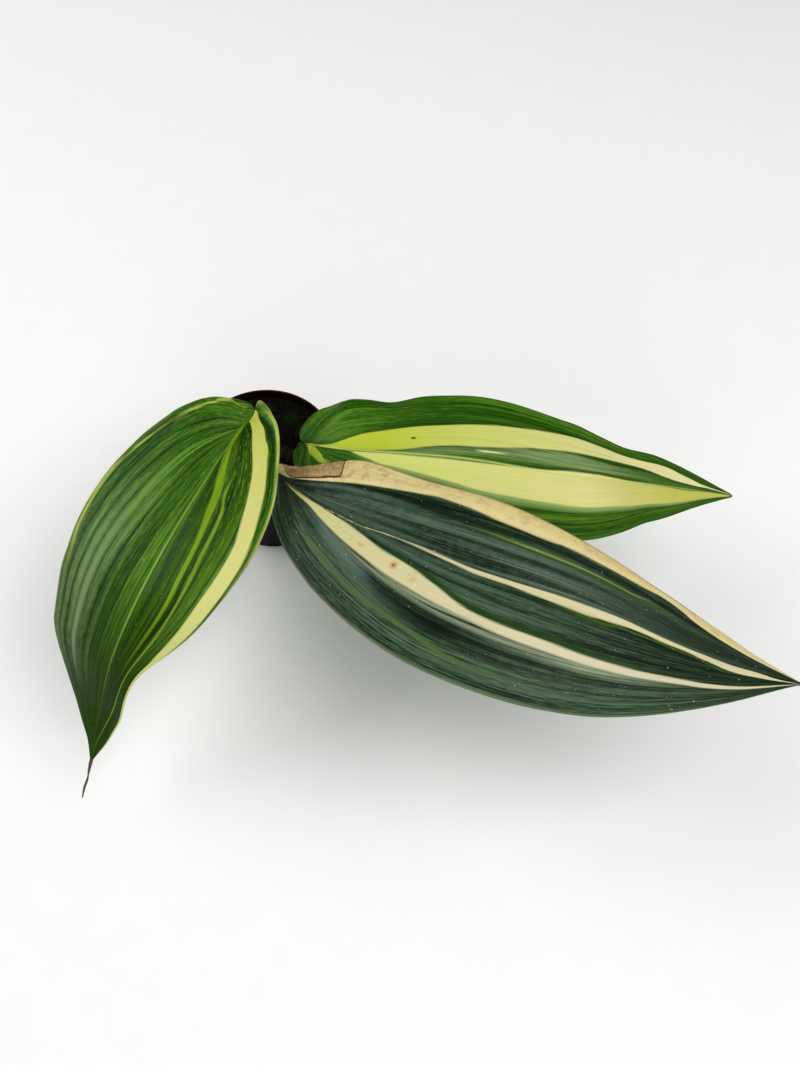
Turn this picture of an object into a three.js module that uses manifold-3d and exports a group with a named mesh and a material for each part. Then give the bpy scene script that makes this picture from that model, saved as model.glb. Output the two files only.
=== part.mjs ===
// Potted cast iron plant: three broad pleated leaves on a creeping stem, in a small plastic pot.
// Millimetres, +Z up. The origin is the middle of the pot's flat foot.
import * as THREE from 'three';
import { mergeVertices } from 'three/addons/utils/BufferGeometryUtils.js';
import Module from 'manifold-3d';

const wasm = await Module();
wasm.setup();

// Pot
const POT_HEIGHT = 80;
const RIM_RADIUS = 50;
const RIM_BAND = 10;
const RIM_THICKNESS = 1.8;
const RIM_PROUD = 1.6;
const RIM_BEVEL = 0.6;
const FOOT_RADIUS = 36;
const FOOT_BEVEL = 1;
const WALL = 1.2;
const FLOOR = 1.6;
const DRAIN_HOLES = 8;
const DRAIN_RADIUS = 3.5;
const DRAIN_CIRCLE = 27;
const DRAIN_SIDES = 12;
const ROUND_SIDES = 48;

// Soil
const SOIL_TOP = 72;
const SOIL_LUMP = 1.3;
const SOIL_BANK = 2.5;
const SOIL_RINGS = 8;
const CLEARANCE = 0.4;

// Creeping stem, sheaths and roots. A path point is x, y and how far it dips below STEM_HEIGHT.
const STEM_MAIN = [[-24, 13, 2], [-6, 10, 0], [14, 2, 0], [32, -6, 2]];
const STEM_FORK = [[4, 7, 0], [3, -4, 0], [2, -12, 0], [1, -20, 2]];
const STEM_HEIGHT = 71;
const STEM_RADIUS = 5.4;
const STEM_SIDES = 8;
const STEM_RING = 0.5;
const STEM_RING_PITCH = 5;
const STEM_END = 0.15;
const SHEATH_LENGTH = 17;
const SHEATH_FOOT = 5.2;
const SHEATH_MOUTH = 4.2;
const SHEATH_SLANT = 2.4;
const SHEATH_STEPS = 4;
const SHEATH_SIDES = 10;
// Where each root leaves the stem, and where it ends
const ROOTS = [
  [[-18, 11], [-27, 12, 34]],
  [[-4, 9], [-8, 22, 26]],
  [[16, 2], [27, 9, 32]],
  [[6, 4], [9, 3, 22]],
  [[2, -15], [-4, -26, 30]],
];
const ROOT_RADIUS = 1.5;
const ROOT_TIP = 0.8;
const ROOT_SIDES = 5;
const ROOT_STEPS = 5;

// Leaves: stalk and blade in one
const BLADE_THICKNESS = 0.8;
const STALK_FOOT = 69;
const STALK_RADIUS = 2.8;
const STALK_NECK = 2.1;
const STALK_SIDES = 10;
const STALK_STEPS = 10;
const STALK_CHANNEL = 0.3;
const SOCKET_SHARE = 0.6;
const SOCKET_STEPS = 6;
const TIP_RADIUS = 0.5;
const BLADE_ROWS = 30;
// The base reaches back in a lobe on each side: least on the first row, most at LOBE_TURN, then less
const LOBE_ROUNDNESS = 1.5;
const LOBE_FADE = 4;
const LOBE_START = 0.15;
const LOBE_TURN = 0.06;
const LEFT_WAVE_START = 0.2;
const RIGHT_WAVE_START = 0.55;

// Midrib keel: it thins over the first part of the blade, sinks below it and ends short of the tip
const KEEL_RADIUS = 0.75;
const KEEL_STEPS = 15;
const KEEL_END = 0.9;
const KEEL_THIN_AT = 0.45;
const KEEL_SUNK_AT = 0.2;
const KEEL_SINK = 0.6;

// Stations along a blade, as shares of its length, where the half-widths below are given
const STATIONS = [0, 0.06, 0.16, 0.3, 0.45, 0.6, 0.75, 0.88, 1];
// Share of evenly spaced rows: the rest crowd towards the base, where the outline turns fastest
const ROW_EVENNESS = 0.3;

// Left and right are as seen from the base towards the tip, upper face up.
// spine: the midrib. left, right: half-widths at the stations. fold, curl: how far each half tilts up
// from level at the midrib, and how far it bends from there to the margin, in degrees, base to tip.
// lobeLeft, lobeRight: how far the base reaches back. pleat: height of the lengthwise ridges. ripple, waves:
// height and number of the margin's waves. columns: columns of faces in each half.
const LEFT_LEAF = {
  name: 'leaf_left',
  colour: 0x3d7a22,
  foot: [-6, 10],
  stalkRise: 46,
  stalkReach: 14,
  spine: [
    [1, -7, 135], [-19, -48, 142], [-50, -116, 140],
    [-75, -160, 112], [-89, -186, 78], [-96, -208, 58],
  ],
  tip: [-104, -228, 40],
  left: [1.5, 9, 24, 37, 50, 44, 20, 13, 1],
  right: [1.5, 12, 34, 46, 59, 60, 44, 12, 1],
  foldLeft: [45, 20, 15, 5],
  foldRight: [40, 10, 5, 5],
  curlLeft: [-10, -25, -20, -10],
  curlRight: [-20, -25, -25, -10],
  lobeLeft: 19,
  lobeRight: 9,
  pleat: 1.4,
  ripple: 1.5,
  waves: 2.5,
  columns: 12,
};

const RIGHT_LEAF = {
  name: 'leaf_right',
  colour: 0x5b8f2b,
  foot: [27, -4],
  stalkRise: 20,
  stalkReach: 9,
  spine: [
    [32, -14, 112], [59.4, -23.6, 121], [130.3, -35.1, 130],
    [202, -48, 130], [250, -47, 118], [308, -49, 105],
  ],
  tip: [313, -49, 103],
  left: [2, 21, 30, 35.5, 39.5, 48, 36, 22, 1],
  right: [2, 9, 24, 37, 43, 50, 44, 25, 1],
  foldLeft: [20, 12, 10, 10],
  foldRight: [-15, 5, 10, 10],
  curlLeft: [-20, -25, -25, -10],
  curlRight: [-30, -25, -20, -10],
  lobeLeft: 11,
  lobeRight: 14,
  pleat: 0.9,
  ripple: 2.5,
  waves: 3.5,
  columns: 9,
};

const FRONT_LEAF = {
  name: 'leaf_front',
  colour: 0x24483a,
  foot: [2, -12],
  stalkRise: 26,
  stalkReach: 18,
  spine: [
    [14, -37, 115], [54, -78, 142], [117, -118, 155],
    [193, -144, 150], [261, -167, 138], [322, -181, 125],
  ],
  tip: [328, -182, 123],
  left: [2, 5, 12, 33, 44, 50, 39, 18, 1],
  right: [2, 6, 13, 30, 49, 66, 63, 34, 1],
  foldLeft: [30, 12, 10, 10],
  foldRight: [10, 10, 10, 10],
  curlLeft: [-10, -20, -20, -10],
  curlRight: [-20, -25, -20, -10],
  lobeLeft: 14,
  lobeRight: 14,
  pleat: 0.8,
  ripple: 2,
  waves: 3,
  columns: 9,
};

const UP = new THREE.Vector3(0, 0, 1);

// A closed solid from points and triangles
function solid(points, triangles) {
  const vertProperties = new Float32Array(points.flatMap((p) => [p.x, p.y, p.z]));
  const triVerts = new Uint32Array(triangles.flat());
  return new wasm.Manifold(new wasm.Mesh({ numProp: 3, vertProperties, triVerts }));
}

// A closed solid from one of the library's geometries
function fromGeometry(geometry) {
  geometry.deleteAttribute('normal');
  geometry.deleteAttribute('uv');
  const merged = mergeVertices(geometry, 1e-4);
  const vertProperties = new Float32Array(merged.attributes.position.array);
  const triVerts = new Uint32Array(merged.index.array);
  return new wasm.Manifold(new wasm.Mesh({ numProp: 3, vertProperties, triVerts }));
}

function meshOf(name, body, material) {
  const { vertProperties, triVerts } = body.getMesh();
  const geometry = new THREE.BufferGeometry();
  geometry.setAttribute('position', new THREE.BufferAttribute(vertProperties, 3));
  geometry.setIndex(new THREE.BufferAttribute(triVerts, 1));
  geometry.computeVertexNormals();
  const mesh = new THREE.Mesh(geometry, material);
  mesh.name = name;
  return mesh;
}

// A smooth curve through values at stations: cubic pieces whose slopes come from the neighbours
function through(values, stations, at) {
  const last = values.length - 1;
  let k = 0;
  while (k < last - 1 && at > stations[k + 1]) {
    k += 1;
  }
  const slope = (i) => {
    const a = Math.max(i - 1, 0);
    const b = Math.min(i + 1, last);
    return (values[b] - values[a]) / (stations[b] - stations[a]);
  };
  const h = stations[k + 1] - stations[k];
  const x = (at - stations[k]) / h;
  const fromStart = values[k] * (1 + 2 * x) * (1 - x) ** 2 + slope(k) * h * x * (1 - x) ** 2;
  const fromEnd = values[k + 1] * x * x * (3 - 2 * x) + slope(k + 1) * h * x * x * (x - 1);
  return fromStart + fromEnd;
}

// The same with stations at even steps
function evenly(values, at) {
  return through(values, values.map((_, i) => i / (values.length - 1)), at);
}

const radians = THREE.MathUtils.degToRad;
const vector = ([x, y, z]) => new THREE.Vector3(x, y, z);
const alongSpine = (u) => ROW_EVENNESS * u + (1 - ROW_EVENNESS) * u * u;

// Direction of the midrib, of the leaf's right side and of its upper face
function bladeFrame(curve, t) {
  const along = curve.getTangent(t);
  const side = new THREE.Vector3().crossVectors(along, UP).normalize();
  const up = new THREE.Vector3().crossVectors(side, along);
  return { at: curve.getPoint(t), along, side, up };
}

// The blade's middle surface. v runs from -1 at the left margin over 0 at the midrib to 1 at the right.
// Each half is an arc that leaves the midrib at the fold angle, and its base reaches back in a round lobe.
function bladePoint(leaf, curve, u, v) {
  const t = alongSpine(u);
  const { at, along, side, up } = bladeFrame(curve, t);
  const out = Math.abs(v);
  const halfWidth = through(v < 0 ? leaf.left : leaf.right, STATIONS, u);
  const fold = radians(evenly(v < 0 ? leaf.foldLeft : leaf.foldRight, u));
  const curl = radians(evenly(v < 0 ? leaf.curlLeft : leaf.curlRight, u));
  const sideways = (halfWidth * (Math.sin(fold + curl * out) - Math.sin(fold))) / curl;
  const upwards = (halfWidth * (Math.cos(fold) - Math.cos(fold + curl * out))) / curl;
  const turn = Math.sin((Math.PI / 2) * Math.min(u / LOBE_TURN, 1));
  const lobe = (v < 0 ? leaf.lobeLeft : leaf.lobeRight) * THREE.MathUtils.lerp(LOBE_START, 1, turn);
  const back = lobe * out ** LOBE_ROUNDNESS * (1 - u) ** LOBE_FADE;
  const start = v < 0 ? LEFT_WAVE_START : RIGHT_WAVE_START;
  const swell = leaf.ripple * out ** 3 * Math.sin(Math.PI * u);
  const wave = swell * Math.sin(2 * Math.PI * (leaf.waves * u + start));
  return at
    .addScaledVector(side, Math.sign(v) * sideways)
    .addScaledVector(up, upwards + wave)
    .addScaledVector(along, -back);
}

// A thin solid around a surface of rows and columns, with its triangles alike on both faces.
// lift gives how far a grid point stands off the surface, for pleats.
function slab(surface, rows, columns, thickness, lift) {
  const step = 1e-3;
  const top = [];
  const bottom = [];
  for (let i = 0; i <= rows; i += 1) {
    for (let j = 0; j <= columns; j += 1) {
      const u = i / rows;
      const v = (2 * j) / columns - 1;
      const alongU = surface(Math.min(u + step, 1), v).sub(surface(Math.max(u - step, 0), v));
      const alongV = surface(u, Math.min(v + step, 1)).sub(surface(u, Math.max(v - step, -1)));
      const normal = alongV.cross(alongU).normalize();
      const middle = surface(u, v).addScaledVector(normal, lift(j, u, v));
      top.push(middle.clone().addScaledVector(normal, thickness / 2));
      bottom.push(middle.addScaledVector(normal, -thickness / 2));
    }
  }
  const at = (i, j) => i * (columns + 1) + j;
  const below = top.length;
  const triangles = [];
  for (let i = 0; i < rows; i += 1) {
    for (let j = 0; j < columns; j += 1) {
      const [a, b, c, d] = [at(i, j), at(i, j + 1), at(i + 1, j + 1), at(i + 1, j)];
      triangles.push([a, b, c], [a, c, d]);
      triangles.push([below + a, below + c, below + b], [below + a, below + d, below + c]);
    }
  }
  const edge = [];
  for (let j = 0; j < columns; j += 1) edge.push(at(0, j));
  for (let i = 0; i < rows; i += 1) edge.push(at(i, columns));
  for (let j = columns; j > 0; j -= 1) edge.push(at(rows, j));
  for (let i = rows; i > 0; i -= 1) edge.push(at(i, 0));
  edge.forEach((a, k) => {
    const b = edge[(k + 1) % edge.length];
    triangles.push([a, below + a, below + b], [a, below + b, b]);
  });
  return solid([...top, ...bottom], triangles);
}

// A rod through stations { at, radius, side }. Its section is a round with a channel on its upper face.
// grow makes it thicker and longer all round, and slant leans its last section over.
function rod(stations, sides, { grow = 0, channel = 0, slant = 0 } = {}) {
  const last = stations.length - 1;
  const points = [];
  stations.forEach(({ at, radius, side }, i) => {
    const before = stations[Math.max(i - 1, 0)].at;
    const after = stations[Math.min(i + 1, last)].at;
    const along = after.clone().sub(before).normalize();
    const up = new THREE.Vector3().crossVectors(side, along).normalize();
    const across = new THREE.Vector3().crossVectors(along, up);
    const stretch = grow * (Number(i === last) - Number(i === 0));
    const centre = at.clone().addScaledVector(along, stretch);
    for (let k = 0; k < sides; k += 1) {
      const angle = (2 * Math.PI * k) / sides;
      const dip = channel * Math.max(Math.sin(angle), 0) ** 6;
      const r = (radius + grow) * (1 - dip);
      const lean = i === last ? slant * Math.sin(angle) : 0;
      points.push(
        centre
          .clone()
          .addScaledVector(across, r * Math.cos(angle))
          .addScaledVector(up, r * Math.sin(angle))
          .addScaledVector(along, lean),
      );
    }
  });
  const triangles = [];
  for (let i = 0; i < last; i += 1) {
    for (let k = 0; k < sides; k += 1) {
      const a = i * sides + k;
      const b = i * sides + ((k + 1) % sides);
      triangles.push([a, a + sides, b], [b, a + sides, b + sides]);
    }
  }
  for (let k = 1; k < sides - 1; k += 1) {
    triangles.push([0, k, k + 1]);
    triangles.push([last * sides, last * sides + k + 1, last * sides + k]);
  }
  return solid(points, triangles);
}

// The stalk rises from the creeping stem and turns into the midrib's direction at the blade
function stalkCurve(leaf) {
  const spine = new THREE.CatmullRomCurve3(leaf.spine.map(vector), false, 'catmullrom', 0.5);
  const base = spine.getPoint(0);
  const foot = new THREE.Vector3(leaf.foot[0], leaf.foot[1], STALK_FOOT);
  const above = foot.clone().addScaledVector(UP, leaf.stalkRise);
  const behind = base.clone().addScaledVector(spine.getTangent(0), -leaf.stalkReach);
  return new THREE.CubicBezierCurve3(foot, above, behind, base);
}

function stalkStations(leaf, steps, upTo = 1) {
  const spine = new THREE.CatmullRomCurve3(leaf.spine.map(vector), false, 'catmullrom', 0.5);
  const { side } = bladeFrame(spine, 0);
  const curve = stalkCurve(leaf);
  return Array.from({ length: steps + 1 }, (_, i) => {
    const t = (upTo * i) / steps;
    return { at: curve.getPoint(t), radius: THREE.MathUtils.lerp(STALK_RADIUS, STALK_NECK, t), side };
  });
}

// Stalk, midrib keel under the blade and the thin tip past it, as one rod
function stalkAndKeel(leaf, curve) {
  const stations = stalkStations(leaf, STALK_STEPS).slice(0, -1);
  for (let i = 0; i <= KEEL_STEPS; i += 1) {
    const share = i / KEEL_STEPS;
    const { at, side, up } = bladeFrame(curve, KEEL_END * alongSpine(share));
    const radius = THREE.MathUtils.lerp(STALK_NECK, KEEL_RADIUS, Math.min(share / KEEL_THIN_AT, 1));
    const sink = KEEL_SINK * radius * Math.min(share / KEEL_SUNK_AT, 1);
    stations.push({ at: at.addScaledVector(up, -sink), radius, side });
  }
  const { at, side } = bladeFrame(curve, 1);
  stations.push({ at, radius: KEEL_RADIUS, side });
  const tip = vector(leaf.tip);
  stations.push({ at: at.clone().lerp(tip, 0.5), radius: (KEEL_RADIUS + TIP_RADIUS) / 2, side });
  stations.push({ at: tip, radius: TIP_RADIUS, side });
  return rod(stations, STALK_SIDES, { channel: STALK_CHANNEL });
}

// Every other column stands up in a ridge, less towards the midrib, the margins and the ends
function pleatOf(leaf) {
  return (column, u, v) => {
    const share = Math.sin(Math.PI * Math.abs(v)) * Math.sin(Math.PI * u);
    const ridge = column % 2 === 0 ? -0.5 : 0.5;
    return leaf.pleat * ridge * Math.sqrt(Math.max(share, 0));
  };
}

function leafSolid(leaf) {
  const curve = new THREE.CatmullRomCurve3(leaf.spine.map(vector), false, 'catmullrom', 0.5);
  const surface = (u, v) => bladePoint(leaf, curve, u, v);
  const blade = slab(surface, BLADE_ROWS, 2 * leaf.columns, BLADE_THICKNESS, pleatOf(leaf));
  return blade.add(stalkAndKeel(leaf, curve));
}

// Inside of the pot wall: a straight cone from the floor to the rim
function innerRadius(z) {
  return THREE.MathUtils.lerp(FOOT_RADIUS - WALL, RIM_RADIUS - RIM_THICKNESS, z / POT_HEIGHT);
}

function potSolid() {
  const bandFoot = POT_HEIGHT - RIM_BAND;
  const outline = [
    [0, 0],
    [FOOT_RADIUS - FOOT_BEVEL, 0],
    [FOOT_RADIUS, FOOT_BEVEL],
    [innerRadius(bandFoot) + WALL, bandFoot],
    [innerRadius(bandFoot) + WALL + RIM_PROUD, bandFoot],
    [RIM_RADIUS, POT_HEIGHT - RIM_BEVEL],
    [RIM_RADIUS - RIM_BEVEL, POT_HEIGHT],
    [innerRadius(POT_HEIGHT), POT_HEIGHT],
    [innerRadius(FLOOR), FLOOR],
    [0, FLOOR],
  ].map(([r, z]) => new THREE.Vector2(r, z));
  const shell = new THREE.LatheGeometry(outline, ROUND_SIDES).rotateX(Math.PI / 2);
  let pot = fromGeometry(shell);
  for (let i = 0; i < DRAIN_HOLES; i += 1) {
    const angle = (2 * Math.PI * (i + 0.5)) / DRAIN_HOLES;
    const hole = new THREE.CylinderGeometry(DRAIN_RADIUS, DRAIN_RADIUS, 4 * FLOOR, DRAIN_SIDES);
    hole.rotateX(Math.PI / 2);
    hole.translate(DRAIN_CIRCLE * Math.cos(angle), DRAIN_CIRCLE * Math.sin(angle), FLOOR / 2);
    pot = pot.subtract(fromGeometry(hole));
  }
  return pot;
}

// Lumpy soil, banked up a little towards the wall
function soilHeight(x, y) {
  const lumps = Math.sin(x / 7 + 1) * Math.cos(y / 6) + 0.6 * Math.sin(x / 3.3 + y / 4.6);
  const reach = Math.hypot(x, y) / innerRadius(SOIL_TOP);
  return SOIL_TOP + SOIL_LUMP * lumps * (1 - reach ** 4) + SOIL_BANK * reach ** 4;
}

function soilSolid(stem) {
  const rimHeight = SOIL_TOP + SOIL_BANK;
  const footRadius = innerRadius(FLOOR) - CLEARANCE;
  const topRadius = innerRadius(rimHeight) - CLEARANCE;
  const points = [new THREE.Vector3(0, 0, FLOOR)];
  const ringOf = (radius, height) => {
    for (let k = 0; k < ROUND_SIDES; k += 1) {
      const angle = (2 * Math.PI * k) / ROUND_SIDES;
      const [x, y] = [radius * Math.sin(angle), radius * Math.cos(angle)];
      points.push(new THREE.Vector3(x, y, height(x, y)));
    }
  };
  ringOf(footRadius, () => FLOOR);
  ringOf(topRadius, () => rimHeight);
  for (let i = SOIL_RINGS - 1; i > 0; i -= 1) {
    ringOf((topRadius * i) / SOIL_RINGS, soilHeight);
  }
  points.push(new THREE.Vector3(0, 0, soilHeight(0, 0)));
  const triangles = [];
  const count = SOIL_RINGS + 1;
  for (let k = 0; k < ROUND_SIDES; k += 1) {
    const next = (k + 1) % ROUND_SIDES;
    triangles.push([0, 1 + k, 1 + next]);
    for (let i = 0; i < count - 1; i += 1) {
      const a = 1 + i * ROUND_SIDES;
      const b = a + ROUND_SIDES;
      triangles.push([a + k, b + k, a + next], [a + next, b + k, b + next]);
    }
    const inner = 1 + (count - 1) * ROUND_SIDES;
    triangles.push([inner + k, points.length - 1, inner + next]);
  }
  return solid(points, triangles).subtract(stem);
}

// The creeping stem lies half sunk in the soil, ringed with old leaf scars, and forks to the front leaf
function stemStations(path, steps) {
  const points = path.map(([x, y, drop]) => new THREE.Vector3(x, y, STEM_HEIGHT - drop));
  const curve = new THREE.CatmullRomCurve3(points);
  const length = curve.getLength();
  return Array.from({ length: steps + 1 }, (_, i) => {
    const share = i / steps;
    const ring = STEM_RING * Math.cos((2 * Math.PI * share * length) / STEM_RING_PITCH);
    const roundEnd = Math.sqrt(Math.min(1, STEM_END + 5 * Math.min(share, 1 - share)));
    const along = curve.getTangentAt(share);
    const side = new THREE.Vector3().crossVectors(along, UP);
    return { at: curve.getPointAt(share), radius: (STEM_RADIUS + ring) * roundEnd, side };
  });
}

function rootStations([x, y], [farX, farY, farZ], steps) {
  const start = new THREE.Vector3(x, y, STEM_HEIGHT);
  const end = new THREE.Vector3(farX, farY, farZ);
  const bend = new THREE.Vector3(farX, farY, THREE.MathUtils.lerp(STEM_HEIGHT, farZ, 0.35));
  const curve = new THREE.QuadraticBezierCurve3(start, bend, end);
  const side = new THREE.Vector3(y, -x, 0).normalize();
  return Array.from({ length: steps + 1 }, (_, i) => {
    const share = i / steps;
    return { at: curve.getPoint(share), radius: THREE.MathUtils.lerp(ROOT_RADIUS, ROOT_TIP, share), side };
  });
}

function stemOutside(grow) {
  let body = rod(stemStations(STEM_MAIN, 20), STEM_SIDES, { grow });
  body = body.add(rod(stemStations(STEM_FORK, 12), STEM_SIDES, { grow }));
  ROOTS.forEach(([start, end]) => {
    body = body.add(rod(rootStations(start, end, ROOT_STEPS), ROOT_SIDES, { grow }));
  });
  [LEFT_LEAF, RIGHT_LEAF, FRONT_LEAF].forEach((leaf) => {
    const share = SHEATH_LENGTH / stalkCurve(leaf).getLength();
    const stations = stalkStations(leaf, SHEATH_STEPS, share);
    stations.forEach((station, i) => {
      station.radius = THREE.MathUtils.lerp(SHEATH_FOOT, SHEATH_MOUTH, i / SHEATH_STEPS);
    });
    body = body.add(rod(stations, SHEATH_SIDES, { grow, slant: SHEATH_SLANT }));
  });
  return body;
}

function stemSolid() {
  let body = stemOutside(0);
  [LEFT_LEAF, RIGHT_LEAF, FRONT_LEAF].forEach((leaf) => {
    const stalk = stalkStations(leaf, SOCKET_STEPS, SOCKET_SHARE);
    body = body.subtract(rod(stalk, STALK_SIDES, { grow: CLEARANCE }));
  });
  return body;
}

// Finishes
const potPlastic = new THREE.MeshStandardMaterial({ color: 0x1d1512, roughness: 0.5, metalness: 0 });
const pottingSoil = new THREE.MeshStandardMaterial({ color: 0x17120d, roughness: 1, metalness: 0 });
const stemSkin = new THREE.MeshStandardMaterial({ color: 0x6b5233, roughness: 0.9, metalness: 0 });

function leafSkin(colour) {
  return new THREE.MeshStandardMaterial({ color: colour, roughness: 0.45, metalness: 0 });
}

const plant = new THREE.Group();
plant.name = 'potted_cast_iron_plant';
plant.add(meshOf('pot', potSolid(), potPlastic));
plant.add(meshOf('soil', soilSolid(stemOutside(CLEARANCE)), pottingSoil));
plant.add(meshOf('rhizome', stemSolid(), stemSkin));
[LEFT_LEAF, RIGHT_LEAF, FRONT_LEAF].forEach((leaf) => {
  plant.add(meshOf(leaf.name, leafSolid(leaf), leafSkin(leaf.colour)));
});

export default plant;
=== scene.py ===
import math
import bpy
import numpy as np
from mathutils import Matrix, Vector


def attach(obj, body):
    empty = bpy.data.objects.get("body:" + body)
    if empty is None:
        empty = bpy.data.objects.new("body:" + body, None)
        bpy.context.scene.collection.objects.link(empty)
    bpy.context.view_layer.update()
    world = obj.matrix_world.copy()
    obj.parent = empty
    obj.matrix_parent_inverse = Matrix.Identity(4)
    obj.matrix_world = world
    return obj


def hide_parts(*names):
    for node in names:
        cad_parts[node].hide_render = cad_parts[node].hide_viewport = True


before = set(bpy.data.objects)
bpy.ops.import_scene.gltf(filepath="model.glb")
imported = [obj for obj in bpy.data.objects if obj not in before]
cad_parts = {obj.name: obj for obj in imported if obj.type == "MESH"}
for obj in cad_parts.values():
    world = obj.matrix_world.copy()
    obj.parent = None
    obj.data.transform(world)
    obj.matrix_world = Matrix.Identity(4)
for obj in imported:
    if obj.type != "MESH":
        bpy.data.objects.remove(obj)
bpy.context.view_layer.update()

# Shapes are worked out in millimetres, in the frame's axes, and scaled to metres as a mesh is made.
toMetres = 0.001


# Colours as seen on screen, 0 to 255, turned into light values for the shaders
def paint(red, green, blue):
    parts = [part / 255 for part in (red, green, blue)]
    linear = [part / 12.92 if part <= 0.04045 else ((part + 0.055) / 1.055) ** 2.4 for part in parts]
    return (*linear, 1.0)


# A socket of a shader tree: Python sums on it add Math nodes
class Wire:
    def __init__(self, shade, socket):
        self.shade = shade
        self.socket = socket

    def math(self, operation, *others, clamp=False):
        values = {i: value for i, value in enumerate((self, *others))}
        return self.shade.node("ShaderNodeMath", {"operation": operation, "use_clamp": clamp}, values)

    def __add__(self, other): return self.math("ADD", other)
    def __radd__(self, other): return self.math("ADD", other)
    def __sub__(self, other): return self.math("SUBTRACT", other)
    def __rsub__(self, other): return (self * -1).math("ADD", other)
    def __mul__(self, other): return self.math("MULTIPLY", other)
    def __rmul__(self, other): return self.math("MULTIPLY", other)
    def __truediv__(self, other): return self.math("DIVIDE", other)
    def __pow__(self, other): return self.math("POWER", other)
    def __gt__(self, other): return self.math("GREATER_THAN", other)
    def __lt__(self, other): return self.math("LESS_THAN", other)
    def __abs__(self): return self.math("ABSOLUTE")
    def clamp(self): return self.math("ADD", 0, clamp=True)
    def sine(self): return self.math("SINE")
    def least(self, other): return self.math("MINIMUM", other)
    def most(self, other): return self.math("MAXIMUM", other)

    # 0 below low, 1 above high, straight between
    def ramp(self, low, high):
        return self.math("MULTIPLY_ADD", 1 / (high - low), -low / (high - low), clamp=True)


# One material and the one method that adds its nodes. Its colour is laid on coat by coat.
class Finish:
    def __init__(self, name):
        self.material = bpy.data.materials.new(name)
        self.material.use_nodes = True
        self.tree = self.material.node_tree
        self.tree.nodes.clear()
        output = self.tree.nodes.new("ShaderNodeOutputMaterial")
        self.shader = self.tree.nodes.new("ShaderNodeBsdfPrincipled")
        self.tree.links.new(self.shader.outputs[0], output.inputs[0])

    def node(self, kind, settings=None, sockets=None, out=0):
        made = self.tree.nodes.new(kind)
        for key, value in (settings or {}).items():
            setattr(made, key, value)
        for key, value in (sockets or {}).items():
            self.feed(made.inputs[key], value)
        return Wire(self, made.outputs[out])

    def feed(self, socket, value):
        if isinstance(value, Wire):
            self.tree.links.new(value.socket, socket)
        else:
            socket.default_value = value

    # From the first colour to the second; a tuple is a tone as seen on screen
    def mix(self, share, first, second):
        first, second = (paint(*tone) if isinstance(tone, tuple) else tone for tone in (first, second))
        return self.node("ShaderNodeMix", {"data_type": "RGBA"}, {0: share, 6: first, 7: second}, out=2)

    # A coat of one tone over the first colour
    def over(self, first, share, *tone):
        return self.mix(share, first, tone[0] if len(tone) == 1 else tone)

    def coat(self, share, *tone):
        self.colour = self.over(self.colour, share, *tone)

    # A soft curve of x through the points
    def curve(self, x, points):
        curve = self.node("ShaderNodeFloatCurve", None, {"Value": x})
        mapping = curve.socket.node.mapping
        line = mapping.curves[0]
        line.points[0].location, line.points[1].location = points[0], points[-1]
        for point in points[1:-1]:
            line.points.new(*point)
        for point in line.points:
            point.handle_type = "AUTO_CLAMPED"
        mapping.update()
        return curve

    def vector(self, x, y, z=0.0):
        return self.node("ShaderNodeCombineXYZ", None, {0: x, 1: y, 2: z})

    def noise(self, place, scale, detail=2.0, roughness=0.5):
        sockets = {"Vector": place, "Scale": scale, "Detail": detail, "Roughness": roughness}
        return self.node("ShaderNodeTexNoise", None, sockets)

    def split(self, vector):
        made = self.node("ShaderNodeSeparateXYZ", None, {0: vector}).socket.node
        return [Wire(self, made.outputs[i]) for i in range(3)]

    def place(self):
        return self.node("ShaderNodeTexCoord", out="Object")

    def surface(self):
        return self.split(self.node("ShaderNodeUVMap", {"uv_map": "surface"}))

    def shade(self):
        return self.node("ShaderNodeAttribute", {"attribute_name": "ridge"}, out="Fac")

    # height: a bump of that many metres; gloss: how much a dull surface mirrors
    def finish(self, roughness, bump=None, height=0.0, strength=1.0, gloss=0.5):
        if bump:
            sockets = {"Height": bump, "Distance": height, "Strength": strength}
            self.feed(self.shader.inputs["Normal"], self.node("ShaderNodeBump", None, sockets))
        self.feed(self.shader.inputs["Base Color"], self.colour)
        self.feed(self.shader.inputs["Roughness"], roughness)
        self.feed(self.shader.inputs["Specular IOR Level"], gloss)
        return self.material


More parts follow.
